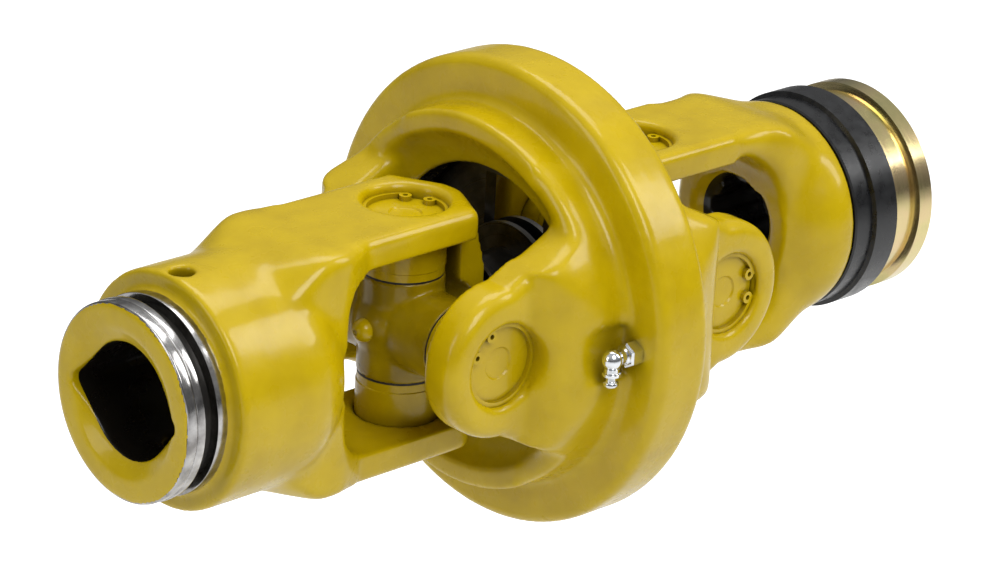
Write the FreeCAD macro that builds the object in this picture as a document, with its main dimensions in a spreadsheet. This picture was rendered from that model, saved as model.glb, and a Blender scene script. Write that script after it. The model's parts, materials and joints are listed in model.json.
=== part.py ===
import FreeCAD, Part
import math
import os

import Sketcher

# Wide-angle constant-velocity universal joint for an agricultural drive shaft.
# X runs along the straightened joint, from the tube yoke (minus) to the splined yoke (plus).
# Z runs along the yoke trunnions and Y along the centre housing's trunnions, with Z up.
# The origin is the middle of the centre housing. All sizes are in millimetres and degrees.

vector = FreeCAD.Vector
document = FreeCAD.newDocument("wide_angle_joint")

DRIVING_SIZES = [
    ("cross_offset", 64.5, "centre of each cross from the middle of the housing"),
    ("bend_limit", 35.0, "largest turn of each trunnion hinge, degrees"),
    ("run_clearance", 0.05, "radial gap of a running fit"),
    ("seat_gap", 0.3, "gap of pieces that slide past each other"),
    ("cap_radius", 17.5, "bearing cap, outside"),
    ("cap_length", 24.0, "bearing cap, end to end"),
    ("cap_floor", 3.0, "end wall of a bearing cap"),
    ("cap_wall", 2.9, "side wall of a bearing cap"),
    ("cap_dimple", 7.0, "radius of the round recess in a cap's face"),
    ("cap_dimple_depth", 0.7, "depth of that recess"),
    ("cap_lip_step", 0.4, "step of the lip line at a cap's open end"),
    ("cap_lip_width", 3.2, "width of that lip"),
    ("needle_size", 3.0, "diameter of the needle rollers"),
    ("needle_length", 14.0, "length of the needle rollers"),
    ("seal_width", 2.0, "trunnion seal along its axis"),
    ("spider_radius", 16.4, "thick arms of the cross under the seals"),
    ("spider_face", 11.5, "half thickness of the cross between its arms"),
    ("spider_cove", 14.0, "coves between the arms of the cross"),
    ("nipple_head", 5.0, "ball head of a cross's grease nipple"),
    ("nipple_screw", 6.0, "length of a cross nipple's thread"),
    ("nipple_mouth", 1.2, "radius of a cross nipple's grease hole"),
    ("yoke_cap_face", 46.5, "cap face from the axis, yoke arms"),
    ("housing_cap_face", 58.0, "cap face from the axis, housing arms"),
    ("ring_thickness", 2.0, "snap ring thickness"),
    ("ring_groove", 1.1, "depth of a snap ring groove"),
    ("ring_width", 2.6, "radial width of a snap ring"),
    ("ring_lug", 2.6, "radius of a snap ring's lug"),
    ("ear_face", 52.5, "outer face of a yoke ear"),
    ("ear_inside", 40.0, "inner face of a yoke ear"),
    ("ear_half_width", 27.5, "half width of a yoke ear"),
    ("ear_tip", 27.5, "reach of an ear past the cross centre"),
    ("ear_hook", 4.0, "depth of the hooks inside the ear tips"),
    ("fork_flare", 13.0, "length over which the ears widen to the crotch"),
    ("ear_nose", 5.0, "half width of the ear's blunt point"),
    ("ear_point", 12.0, "length of the ear's tapered point"),
    ("fork_half_width", 33.0, "half width of the fork at the crotch"),
    ("fork_corner", 60.0, "turned envelope of the fork's corners"),
    ("tube_shoulder", 131.0, "where the tube yoke's ears start to fall to the hub"),
    ("tube_neck", 152.0, "where the tube yoke's ears meet the hub"),
    ("tractor_shoulder", 126.0, "where the splined yoke's ears start to fall to the hub"),
    ("tractor_neck", 149.0, "where the splined yoke's ears meet the hub"),
    ("tube_crotch", 57.0, "crotch of the tube yoke from its cross centre"),
    ("tractor_crotch", 66.0, "crotch of the splined yoke from its cross centre"),
    ("tube_window_corner", 18.0, "corner of the tube yoke's window"),
    ("tractor_window_corner", 24.0, "corner of the splined yoke's window"),
    ("forging_round", 4.0, "rounded forging edges"),
    ("bridge_front", 34.5, "front of the bridge past the cross centre"),
    ("bridge_back", 19.5, "back of the bridge past the cross centre"),
    ("bridge_half_width", 13.0, "half width of the bridge"),
    ("bridge_flat", 17.0, "half height of the bridge's flat front"),
    ("arm_clearance", 1.0, "clearance of the swinging cross arms in the bridge"),
    ("ball_reach", 47.0, "ball centre past the cross centre"),
    ("ball_radius", 11.0, "guide ball"),
    ("stud_radius", 6.5, "shank and neck of the ball stud"),
    ("stud_depth", 7.0, "depth of the shank in the bridge"),
    ("hub_radius", 48.8, "hub of the tube yoke"),
    ("tractor_hub_radius", 47.8, "hub of the splined yoke"),
    ("tube_hub_flare", 22.0, "length over which the tube yoke's crotch swells to its hub"),
    ("tractor_hub_flare", 18.0, "length over which the splined yoke's crotch swells to its hub"),
    ("hub_flare_round", 40.0, "radius of that swell"),
    ("hub_edge", 1.5, "rounded edge of the tube yoke's hub"),
    ("nose_break", 1.2, "broken edge of the tube yoke's end"),
    ("hub_shoulder", 188.7, "shoulder of the tube yoke's nose from the origin"),
    ("nose_end", 210.0, "end face of the tube yoke from the origin"),
    ("nose_radius", 40.6, "machined nose that carries the guard's bearing ring"),
    ("guard_groove_start", 195.0, "inner side of the guard groove"),
    ("guard_groove_width", 6.2, "width of the guard groove"),
    ("guard_groove_radius", 36.0, "floor of the guard groove"),
    ("tube_bore_radius", 23.7, "round part of the profile bore"),
    ("tube_bore_reach", 31.5, "pointed lobe of the profile bore"),
    ("tube_bore_tip", 1.8, "half width of the lobe's end"),
    ("lobe_angle", 42.0, "where a lobe leaves the round part, degrees from its tip"),
    ("tube_bore_mouth", 31.0, "countersink radius of the profile bore"),
    ("tube_bore_sink", 4.0, "depth of the countersink"),
    ("pin_hole_radius", 5.2, "roll pin hole through the hub"),
    ("pin_hole_place", 181.0, "roll pin hole from the origin"),
    ("flange_radius", 100.0, "flange of the centre housing"),
    ("flange_half", 13.75, "half thickness of the flange"),
    ("flange_round", 4.5, "rounded rim of the flange"),
    ("boss_radius", 80.5, "boss of the centre housing"),
    ("boss_end", 32.0, "boss face from the middle"),
    ("boss_cove", 4.0, "cove between boss and flange"),
    ("mouth_radius", 56.0, "opening of the housing"),
    ("mouth_flare", 72.0, "radius of the scooped mouth at the boss face"),
    ("boss_edge", 2.0, "rounded edge of the boss face"),
    ("mouth_scoop", 30.0, "radius of the scoop's hollow"),
    ("ramp_hollow", 24.0, "radius of the hollow ramp from an ear to the boss"),
    ("mouth_depth", 20.0, "where the scoop ends, from the middle"),
    ("cavity_radius", 94.0, "cavity in which the guide disc slides"),
    ("cavity_half", 6.0, "half width of the cavity"),
    ("housing_ear_face", 63.0, "outer face of a housing ear"),
    ("housing_ear_inside", 46.0, "inner face of a housing ear"),
    ("housing_tip_radius", 32.0, "round tip of a housing ear"),
    ("housing_tip_centre", 2.0, "tip centre inside the cross centre"),
    ("housing_root_height", 47.0, "half height of a housing ear at the boss face"),
    ("housing_root_depth", 52.0, "half height of a housing ear at its root"),
    ("housing_ear_round", 6.0, "rounded edge of a housing ear"),
    ("ramp_start", 12.0, "start of the ear's ramp inside the cross centre"),
    ("ear_relief", 38.0, "opening cut into the ears, from the middle"),
    ("disc_radius", 65.5, "guide disc"),
    ("disc_rim", 5.5, "width of the disc's thick rim"),
    ("disc_web_half", 3.0, "half thickness of the disc's web"),
    ("bush_bore", 13.0, "bore of the centring bush"),
    ("bush_radius", 17.0, "centring bush, outside"),
    ("bush_lead", 2.0, "lead-in at the ends of the bush's bore"),
    ("bush_half_length", 25.0, "half length of the centring bush"),
    ("bush_plate_radius", 28.0, "radius of the bush's cover plates"),
    ("bush_shoulder", 0.5, "how far the bush's square block stands out past its tube"),
    ("bush_travel", 27.5, "travel of the bush in the disc's slot"),
    ("notch_depth", 5.0, "depth of the boss's notch behind the grease nipple"),
    ("notch_half_width", 11.0, "half width of that notch"),
    ("nipple_up", 1.0, "height of the grease nipple above the joint's axis"),
    ("nipple_elbow", 4.4, "radius of the grease nipple's elbow"),
    ("nipple_radius", 84.5, "grease nipple from the housing's axis"),
    ("nipple_hex", 9.5, "grease nipple, across flats"),
    ("nipple_hex_height", 6.0, "height of the grease nipple's hexagon"),
    ("nipple_neck", 13.0, "grease nipple's neck, flange face to elbow"),
    ("nozzle_step", 1.4, "nozzle's step inside the elbow"),
    ("nozzle_length", 9.0, "nozzle below the elbow"),
    ("nozzle_lip", 0.4, "lip behind the nozzle's tip"),
    ("nozzle_tip", 3.4, "length of the nozzle's tip"),
    ("nipple_thread", 3.0, "radius of the nipples' threads"),
    ("ring_seat_start", 160.0, "guard ring seat on the splined yoke"),
    ("guard_ring_step", 171.0, "where the guard ring's larger band starts"),
    ("guard_ring_end", 185.0, "end of the guard ring"),
    ("guard_ring_bevel", 0.7, "broken edges of the guard ring"),
    ("guard_ring_small", 46.6, "guard ring, smaller band"),
    ("guard_ring_large", 48.6, "guard ring, larger band"),
    ("ring_seat_width", 4.5, "width of the guard ring's seat"),
    ("ring_seat_radius", 40.0, "radius of the guard ring's seat"),
    ("lock_hub_radius", 27.0, "hub under the pull collar"),
    ("lock_hub_end", 208.0, "end face of the splined yoke"),
    ("collar_end", 210.0, "outer end of the pull collar"),
    ("collar_start", 176.0, "inner end of the collar's shell"),
    ("collar_shell_radius", 44.0, "drum of the pull collar"),
    ("collar_shell_wall", 2.5, "wall of the collar's drum"),
    ("collar_rim_radius", 47.0, "flared rim of the pull collar"),
    ("collar_core_start", 180.0, "inner end of the collar's core"),
    ("collar_core_end", 204.0, "outer end of the collar's core"),
    ("collar_web_start", 184.0, "inner side of the collar's web"),
    ("collar_web", 8.0, "thickness of the collar's web"),
    ("collar_rim_band", 9.0, "width of the collar's flared rim"),
    ("collar_core_wall", 5.0, "wall of the collar's core"),
    ("lock_ball_radius", 6.1, "locking ball"),
    ("lock_ball_place", 188.0, "locking balls from the origin"),
    ("recess_offset", 4.8, "release recess from the locking balls"),
    ("recess_ramp", 2.0, "length of the recess's ramp"),
    ("rim_flare", 3.0, "flare inside the collar's rim"),
    ("rim_groove", 1.0, "depth of the groove behind the rim"),
    ("lock_recess", 3.1, "depth of the collar's release recess"),
    ("stop_groove", 1.7, "depth of the collar's stop ring groove"),
    ("spline_minor", 14.85, "spline bore, minor radius"),
    ("spline_major", 17.5, "spline bore, major radius"),
    ("spline_slot", 8.8, "width of a spline slot"),
    ("spline_mouth", 24.0, "countersink of the spline bore in the crotch"),
    ("spline_sink", 2.0, "depth of the spline bore's outer countersink"),
    ("spring_wire", 2.2, "wire of the collar spring"),
    ("spring_radius", 36.8, "mean radius of the collar spring"),
]
SPLINE_TEETH = 6
SPRING_TURNS = 3
COIL_SIDES = 14
WIRE_SIDES = 6
LOCK_BALLS = 3
RING_GAP = 16
LUG_TURN = 5
EYE_SHARE = 0.42
TUBE_SIDE = -1
TRACTOR_SIDE = 1


class Size:
    """A number together with the sheet expression that gives it."""

    def __init__(self, value, text):
        self.value = float(value)
        self.text = text

    def __add__(self, other):
        other = as_size(other)
        return Size(self.value + other.value, f"({self.text} + {other.text})")

    def __sub__(self, other):
        other = as_size(other)
        return Size(self.value - other.value, f"({self.text} - {other.text})")

    def __mul__(self, other):
        other = as_size(other)
        return Size(self.value * other.value, f"({self.text} * {other.text})")

    def __truediv__(self, other):
        other = as_size(other)
        return Size(self.value / other.value, f"({self.text} / {other.text})")

    def __neg__(self):
        return Size(-self.value, f"(0 - {self.text})")

    __radd__ = __add__
    __rmul__ = __mul__

    def __rsub__(self, other):
        return as_size(other) - self


def as_size(number):
    if isinstance(number, Size):
        return number
    return Size(number, f"({float(number)})")


def root(size):
    return Size(math.sqrt(size.value), f"sqrt({size.text})")


def sine(angle):
    return Size(math.sin(math.radians(angle.value)), f"sin({angle.text} * 1deg)")


def cosine(angle):
    return Size(math.cos(math.radians(angle.value)), f"cos({angle.text} * 1deg)")


class Sheet:
    """The driving sizes, each an attribute with its alias as name."""


sheet_object = document.addObject("Spreadsheet::Sheet", "Sizes")
sizes = Sheet()
for row, (alias, number, note) in enumerate(DRIVING_SIZES, start=1):
    sheet_object.set(f"A{row}", note)
    sheet_object.set(f"B{row}", str(number))
    sheet_object.setAlias(f"B{row}", alias)
    setattr(sizes, alias, Size(number, f"Sizes.{alias}"))
document.recompute()

sub_parts = []


def bind(target, path, size):
    """Tie a property to the sheet, or set it when it is a plain number."""
    target.setExpression(path, as_size(size).text)


def new_body(label):
    body = document.addObject("PartDesign::Body", label)
    body.Label = label
    sub_parts.append(body)
    return body


def origin_plane(body, role):
    return next(item for item in body.Origin.OriginFeatures if item.Role == role)


def new_sketch(body, name, role, lift=0):
    """Sketch on an origin plane, lifted along the plane's normal."""
    sketch = body.newObject("Sketcher::SketchObject", name)
    sketch.AttachmentSupport = [(origin_plane(body, role), "")]
    sketch.MapMode = "FlatFace"
    bind(sketch, ".AttachmentOffset.Base.z", lift)
    return sketch


def tie(sketch, kind, item, point, size):
    """Fix one coordinate of a sketch point from the sketch origin."""
    number = sketch.addConstraint(Sketcher.Constraint(kind, -1, 1, item, point, size.value))
    sketch.setExpression(f"Constraints[{number}]", size.text)


def closed_outline(sketch, corners):
    """Closed outline through corners (across, up) or (across, up, radius).

    A radius bends the side that starts at its corner: positive turns left, negative turns right.
    """
    first_item = sketch.GeometryCount
    points = [(as_size(corner[0]), as_size(corner[1])) for corner in corners]
    bends = [as_size(corner[2]) if len(corner) > 2 else None for corner in corners]
    ends = []
    for index, bend in enumerate(bends):
        start = vector(points[index][0].value, points[index][1].value, 0)
        following = points[(index + 1) % len(points)]
        finish = vector(following[0].value, following[1].value, 0)
        if bend is None:
            sketch.addGeometry(Part.LineSegment(start, finish))
            ends.append((1, 2))
            continue
        chord = finish - start
        reach = abs(bend.value)
        height = math.sqrt(max(reach ** 2 - (chord.Length / 2) ** 2, 0))
        turn = math.copysign(1, bend.value)
        left = vector(-chord.y, chord.x, 0).normalize()
        centre = (start + finish) * 0.5 + left * (height * turn)
        circle = Part.Circle(centre, vector(0, 0, 1), reach)
        angle_start = math.atan2(start.y - centre.y, start.x - centre.x)
        angle_finish = math.atan2(finish.y - centre.y, finish.x - centre.x)
        if turn > 0:
            sketch.addGeometry(Part.ArcOfCircle(circle, angle_start, angle_finish))
            ends.append((1, 2))
        else:
            sketch.addGeometry(Part.ArcOfCircle(circle, angle_finish, angle_start))
            ends.append((2, 1))
    for index in range(len(points)):
        item = first_item + index
        following = first_item + (index + 1) % len(points)
        next_start = ends[(index + 1) % len(points)][0]
        sketch.addConstraint(Sketcher.Constraint("Coincident", item, ends[index][1], following, next_start))
    for index, (across, up) in enumerate(points):
        item = first_item + index
        tie(sketch, "DistanceX", item, ends[index][0], across)
        tie(sketch, "DistanceY", item, ends[index][0], up)
        if bends[index] is not None:
            size = bends[index] if bends[index].value > 0 else -bends[index]
            number = sketch.addConstraint(Sketcher.Constraint("Radius", item, size.value))
            sketch.setExpression(f"Constraints[{number}]", size.text)


def round_outline(sketch, across, up, radius):
    """Full circle about a point of the sketch."""
    across, up, radius = as_size(across), as_size(up), as_size(radius)
    item = sketch.GeometryCount
    centre = vector(across.value, up.value, 0)
    sketch.addGeometry(Part.Circle(centre, vector(0, 0, 1), radius.value))
    tie(sketch, "DistanceX", item, 3, across)
    tie(sketch, "DistanceY", item, 3, up)
    number = sketch.addConstraint(Sketcher.Constraint("Radius", item, radius.value))
    sketch.setExpression(f"Constraints[{number}]", radius.text)


def add_feature(body, kind, name):
    feature = body.newObject(kind, name)
    body.Tip = feature
    return feature


def pad(body, sketch, length, symmetric=True, reverse=False):
    feature = add_feature(body, "PartDesign::Pad", sketch.Name + "_pad")
    feature.Profile = sketch
    feature.SideType = "Symmetric" if symmetric else "One side"
    feature.Reversed = reverse
    bind(feature, "Length", length)
    return feature


def pocket(body, sketch, length, symmetric=True, reverse=False):
    feature = add_feature(body, "PartDesign::Pocket", sketch.Name + "_pocket")
    feature.Profile = sketch
    feature.SideType = "Symmetric" if symmetric else "One side"
    feature.Reversed = reverse
    bind(feature, "Length", length)
    return feature


def turn_on_axis(body, sketch, kind="PartDesign::Revolution", axis="H_Axis"):
    """Turned form: a full revolution about the sketch's own axis."""
    feature = add_feature(body, kind, sketch.Name + "_turned")
    feature.Profile = sketch
    feature.ReferenceAxis = (sketch, [axis])
    feature.Angle = 360
    return feature


def drill(body, name, role, across, up, start, length, radius, mouth=None):
    """Round hole along a plane's normal; a mouth radius makes it conical."""
    kind = "PartDesign::SubtractiveCylinder" if mouth is None else "PartDesign::SubtractiveCone"
    feature = add_feature(body, kind, name)
    feature.AttachmentSupport = [(origin_plane(body, role), "")]
    feature.MapMode = "FlatFace"
    bind(feature, ".AttachmentOffset.Base.x", across)
    bind(feature, ".AttachmentOffset.Base.y", up)
    bind(feature, ".AttachmentOffset.Base.z", start)
    bind(feature, "Height", length)
    if mouth is None:
        bind(feature, "Radius", radius)
    else:
        bind(feature, "Radius1", radius)
        bind(feature, "Radius2", mouth)
    return feature


def round_edges(body, name, radius, chosen):
    """Fillet the edges of the latest shape whose middle point passes the test."""
    document.recompute()
    base = body.Tip
    names = []
    for number, edge in enumerate(base.Shape.Edges, start=1):
        middle = edge.valueAt((edge.FirstParameter + edge.LastParameter) / 2)
        if chosen(edge, middle):
            names.append(f"Edge{number}")
    feature = add_feature(body, "PartDesign::Fillet", name)
    feature.Base = (base, names)
    bind(feature, "Radius", radius)
    return feature


def is_straight(edge):
    return isinstance(edge.Curve, Part.Line)


# Sizes worked out from the driving ones

swing_radius = sizes.cap_radius + sizes.arm_clearance
cap_bore = sizes.cap_radius - sizes.cap_wall
trunnion_radius = cap_bore - sizes.needle_size
groove_radius = sizes.cap_radius + sizes.ring_groove
EAR_DIRECTIONS = (1, -1)

# Overlaps that merge solids, reaches of cutters past what they cut, and small breaks of edges
MERGE = 1
HAIR = 0.2
TOUCH = 0.01
ALONG = 0.99
PAST = 3
CLEAR = 10
BREAK = 1
FINE_BREAK = 0.8
BALL_LIP = 0.5


def along(side, outward):
    """X of a point given by its distance outward from a cross centre."""
    return side * (sizes.cross_offset + outward)


def fork(body, side, crotch, window_corner, hub_radius, shoulder, neck):
    """Ears, crotch and hub shoulder of a yoke, with the bridge that joins the ear tips."""
    inside = sizes.ear_inside
    corner = crotch - window_corner - MERGE
    low = inside - window_corner
    hook = inside - sizes.ear_hook
    bow = 3 * crotch
    turn = -side
    blend = shoulder - sizes.cross_offset
    end = neck - sizes.cross_offset
    upper = [
        (end, hub_radius - MERGE), (blend, sizes.ear_face),
        (-sizes.ear_tip, sizes.ear_face), (-sizes.ear_tip, hook), (-sizes.bridge_back, hook),
        (-sizes.bridge_back, inside), (corner, inside, turn * window_corner),
        (crotch - MERGE, low, turn * bow),
    ]
    lower = [
        (crotch - MERGE, -low, turn * window_corner), (corner, -inside),
        (-sizes.bridge_back, -inside), (-sizes.bridge_back, -hook), (-sizes.ear_tip, -hook),
        (-sizes.ear_tip, -sizes.ear_face), (blend, -sizes.ear_face),
        (end, MERGE - hub_radius),
    ]
    corners = [(along(side, item[0]),) + item[1:] for item in upper + lower]
    profile = new_sketch(body, body.Label + "_ears", "XZ_Plane")
    closed_outline(profile, corners)
    pad(body, profile, 2 * sizes.fork_half_width)

    # The ears narrow towards a blunt point, seen from above
    waist = new_sketch(body, body.Label + "_waist", "XY_Plane")
    beyond = sizes.fork_half_width + CLEAR
    for direction in EAR_DIRECTIONS:
        cut = [
            (-sizes.ear_tip - PAST, beyond), (-sizes.ear_tip - PAST, sizes.ear_nose),
            (-sizes.ear_tip, sizes.ear_nose),
            (sizes.ear_point - sizes.ear_tip, sizes.ear_half_width),
            (crotch - sizes.fork_flare, sizes.ear_half_width),
            (crotch + MERGE, sizes.fork_half_width + HAIR), (crotch + MERGE, beyond),
        ]
        closed_outline(waist, [(along(side, item[0]), direction * item[1]) for item in cut])
    pocket(body, waist, 4 * sizes.ear_face)

    ear_face = sizes.ear_face.value
    nose = sizes.ear_nose.value
    tip_x = along(side, -sizes.ear_tip).value
    ear_length = 2 * sizes.ear_tip.value + sizes.forging_round.value
    shortest = 2 * sizes.forging_round.value
    below_ears = inside.value - CLEAR

    def plan_corner(edge, middle):
        upright = is_straight(edge) and abs(edge.tangentAt(edge.FirstParameter).z) > ALONG
        in_plan = abs(middle.y) > nose - MERGE and side * middle.x < side * tip_x + ear_length
        return upright and edge.Length > shortest and in_plan and abs(middle.z) > below_ears

    round_edges(body, body.Label + "_plan_round", sizes.forging_round, plan_corner)

    far_x = shoulder.value

    def outer_edge(edge, middle):
        on_face = abs(abs(middle.z) - ear_face) < TOUCH
        return on_face and abs(middle.x) < far_x - MERGE and abs(middle.y) > HAIR

    round_edges(body, body.Label + "_outer_round", sizes.forging_round, outer_edge)

    envelope = new_sketch(body, body.Label + "_envelope", "XZ_Plane")
    clear = sizes.fork_corner + 2 * CLEAR
    closed_outline(envelope, [
        (side * (neck + MERGE), hub_radius - HAIR), (side * (shoulder + 2), sizes.fork_corner),
        (along(side, -sizes.ear_tip - PAST), sizes.fork_corner), (along(side, -sizes.ear_tip - PAST), clear),
        (side * (neck + MERGE), clear),
    ])
    turn_on_axis(body, envelope, "PartDesign::Groove")

    # The bridge between the ear tips, relieved for the swinging arms of the cross
    bridge = new_sketch(body, body.Label + "_bridge", "XZ_Plane")
    top = inside + 2 * PAST
    bridge_corners = [
        (-sizes.bridge_back, top), (-sizes.ear_tip + MERGE, top),
        (-sizes.bridge_front, sizes.bridge_flat), (-sizes.bridge_front, -sizes.bridge_flat),
        (-sizes.ear_tip + MERGE, -top), (-sizes.bridge_back, -top),
    ]
    closed_outline(bridge, [(along(side, item[0]), item[1]) for item in bridge_corners])
    pad(body, bridge, 2 * sizes.bridge_half_width)
    for name, tilt in (("left", -sizes.bend_limit), ("right", sizes.bend_limit)):
        half = 3 * sizes.bridge_half_width
        swing_cut(body, f"{body.Label}_relief_{name}", along(side, 0), tilt, -half, 2 * half, swing_radius)


def swing_cut(body, name, centre, tilt, start, length, radius):
    """Room for a round piece on the Y axis, turned about Z by the tilt."""
    relief = add_feature(body, "PartDesign::SubtractiveCylinder", name)
    relief.AttachmentSupport = [(origin_plane(body, "XZ_Plane"), "")]
    relief.MapMode = "FlatFace"
    relief.AttachmentOffset = FreeCAD.Placement(vector(0, 0, 0), FreeCAD.Rotation(vector(0, 1, 0), tilt.value))
    bind(relief, ".AttachmentOffset.Base.x", centre + sine(tilt) * start)
    bind(relief, ".AttachmentOffset.Base.z", start * cosine(tilt))
    bind(relief, "Height", length)
    bind(relief, "Radius", radius)


def ear_holes(body, side, role, face, cap_face, through):
    """Bearing cap holes through both ears, with snap ring grooves and chamfered mouths."""
    centre = along(side, 0)
    drill(body, body.Label + "_cap_hole", role, centre, 0, -through, 2 * through, sizes.cap_radius)
    groove_width = sizes.ring_thickness + HAIR
    for direction in EAR_DIRECTIONS:
        tag = "high" if direction > 0 else "low"
        start = cap_face if direction > 0 else -cap_face - groove_width
        drill(body, f"{body.Label}_groove_{tag}", role, centre, 0, start, groove_width, groove_radius)
        depth = sizes.ring_groove + FINE_BREAK
        if direction > 0:
            drill(body, f"{body.Label}_mouth_{tag}", role, centre, 0, face - depth, depth,
                  sizes.cap_radius, mouth=sizes.cap_radius + depth)
        else:
            drill(body, f"{body.Label}_mouth_{tag}", role, centre, 0, -face, depth,
                  sizes.cap_radius + depth, mouth=sizes.cap_radius)


def stud_socket(body, side):
    """Seat of the ball stud's shank in the bridge."""
    back = sizes.bridge_front - sizes.stud_depth
    near, far = along(side, -back), along(side, -sizes.bridge_front - MERGE)
    start, end = (far, near) if side > 0 else (near, far)
    drill(body, body.Label + "_stud_socket", "YZ_Plane", 0, 0, start, end - start, sizes.stud_radius)


# Tube yoke

tube_yoke = new_body("tube_yoke")
fork(tube_yoke, TUBE_SIDE, sizes.tube_crotch, sizes.tube_window_corner, sizes.hub_radius,
     sizes.tube_shoulder, sizes.tube_neck)

hub = new_sketch(tube_yoke, "tube_hub", "XZ_Plane")
hub_front = sizes.cross_offset + sizes.tube_crotch + PAST
hub_waist = hub_front + sizes.tube_hub_flare
groove_end = sizes.guard_groove_start + sizes.guard_groove_width
closed_outline(hub, [
    (-sizes.nose_end, 0), (-hub_front, 0),
    (-hub_front, sizes.fork_half_width + MERGE, sizes.hub_flare_round),
    (-hub_waist, sizes.hub_radius),
    (sizes.hub_edge - sizes.hub_shoulder, sizes.hub_radius, sizes.hub_edge),
    (-sizes.hub_shoulder, sizes.hub_radius - sizes.hub_edge), (-sizes.hub_shoulder, sizes.nose_radius),
    (-sizes.guard_groove_start, sizes.nose_radius), (-sizes.guard_groove_start, sizes.guard_groove_radius),
    (-groove_end, sizes.guard_groove_radius), (-groove_end, sizes.nose_radius),
    (sizes.nose_break - sizes.nose_end, sizes.nose_radius),
    (-sizes.nose_end, sizes.nose_radius - sizes.nose_break),
])
turn_on_axis(tube_yoke, hub)

bore = new_sketch(tube_yoke, "tube_profile_bore", "YZ_Plane", lift=-sizes.nose_end - MERGE)
lobe_across = sizes.tube_bore_radius * cosine(sizes.lobe_angle)
lobe_up = sizes.tube_bore_radius * sine(sizes.lobe_angle)
closed_outline(bore, [
    (sizes.tube_bore_reach, -sizes.tube_bore_tip), (sizes.tube_bore_reach, sizes.tube_bore_tip),
    (lobe_across, lobe_up, sizes.tube_bore_radius),
    (-lobe_across, lobe_up), (-sizes.tube_bore_reach, sizes.tube_bore_tip),
    (-sizes.tube_bore_reach, -sizes.tube_bore_tip),
    (-lobe_across, -lobe_up, sizes.tube_bore_radius), (lobe_across, -lobe_up),
])
bore_length = sizes.nose_end - sizes.cross_offset - sizes.tube_crotch + 2 * PAST
pocket(tube_yoke, bore, bore_length, symmetric=False, reverse=True)
drill(tube_yoke, "tube_bore_sink", "YZ_Plane", 0, 0, -sizes.nose_end, sizes.tube_bore_sink,
      sizes.tube_bore_mouth, mouth=sizes.tube_bore_radius)
drill(tube_yoke, "tube_pin_hole", "XY_Plane", -sizes.pin_hole_place, 0, -sizes.hub_radius - PAST,
      2 * (sizes.hub_radius + PAST), sizes.pin_hole_radius)
ear_swing = (sizes.housing_tip_radius - sizes.housing_tip_centre * cosine(sizes.bend_limit)
             + sizes.arm_clearance)
swing_length = sizes.housing_ear_face - sizes.housing_ear_inside + 2 * PAST
for name, start in (("far", -sizes.housing_ear_face - PAST), ("near", sizes.housing_ear_inside - PAST)):
    tilt = -sizes.bend_limit if name == "near" else sizes.bend_limit
    swing_cut(tube_yoke, f"tube_crotch_relief_{name}", along(TUBE_SIDE, 0), tilt, start, swing_length, ear_swing)
ear_holes(tube_yoke, TUBE_SIDE, "XY_Plane", sizes.ear_face, sizes.yoke_cap_face, sizes.ear_face + PAST)
stud_socket(tube_yoke, TUBE_SIDE)


# Splined yoke

tractor_yoke = new_body("tractor_yoke")
fork(tractor_yoke, TRACTOR_SIDE, sizes.tractor_crotch, sizes.tractor_window_corner, sizes.tractor_hub_radius,
     sizes.tractor_shoulder, sizes.tractor_neck)

spigot = new_sketch(tractor_yoke, "tractor_hub", "XZ_Plane")
spigot_front = sizes.cross_offset + sizes.tractor_crotch + 2 * MERGE
spigot_waist = spigot_front + sizes.tractor_hub_flare
seat_end = sizes.ring_seat_start + sizes.ring_seat_width
stop_start = sizes.collar_core_end + HAIR
stop_end = stop_start + sizes.ring_thickness + 2 * sizes.run_clearance
stop_floor = sizes.lock_hub_radius - sizes.stop_groove
closed_outline(spigot, [
    (spigot_front, 0), (sizes.lock_hub_end, 0),
    (sizes.lock_hub_end, sizes.lock_hub_radius - FINE_BREAK),
    (sizes.lock_hub_end - FINE_BREAK, sizes.lock_hub_radius),
    (stop_end, sizes.lock_hub_radius), (stop_end, stop_floor), (stop_start, stop_floor),
    (stop_start, sizes.lock_hub_radius), (seat_end, sizes.lock_hub_radius),
    (seat_end, sizes.ring_seat_radius), (sizes.ring_seat_start, sizes.ring_seat_radius),
    (sizes.ring_seat_start, sizes.tractor_hub_radius - FINE_BREAK),
    (sizes.ring_seat_start - FINE_BREAK, sizes.tractor_hub_radius),
    (spigot_waist, sizes.tractor_hub_radius, sizes.hub_flare_round),
    (spigot_front, sizes.fork_half_width + MERGE),
])
turn_on_axis(tractor_yoke, spigot)

crotch_face = sizes.cross_offset + sizes.tractor_crotch - MERGE
spline_length = sizes.lock_hub_end - crotch_face + 2 * MERGE
drill(tractor_yoke, "spline_minor_bore", "YZ_Plane", 0, 0, crotch_face - MERGE, spline_length, sizes.spline_minor)
slot = new_sketch(tractor_yoke, "spline_slot_pair", "YZ_Plane", lift=crotch_face - MERGE)
slot_half = sizes.spline_slot / 2
slot_reach = root(sizes.spline_major * sizes.spline_major - slot_half * slot_half)
closed_outline(slot, [
    (-slot_reach, -slot_half), (slot_reach, -slot_half, sizes.spline_major),
    (slot_reach, slot_half), (-slot_reach, slot_half, sizes.spline_major),
])
slots = pocket(tractor_yoke, slot, spline_length, symmetric=False, reverse=True)
pattern = add_feature(tractor_yoke, "PartDesign::PolarPattern", "spline_slots")
pattern.Originals = [slots]
pattern.Axis = (slot, ["N_Axis"])
pattern.Angle = 360 / SPLINE_TEETH * (SPLINE_TEETH // 2 - 1)
pattern.Occurrences = SPLINE_TEETH // 2
sink_depth = sizes.spline_mouth - sizes.spline_major
drill(tractor_yoke, "spline_crotch_sink", "YZ_Plane", 0, 0, crotch_face, sink_depth,
      sizes.spline_mouth, mouth=sizes.spline_major)
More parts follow.
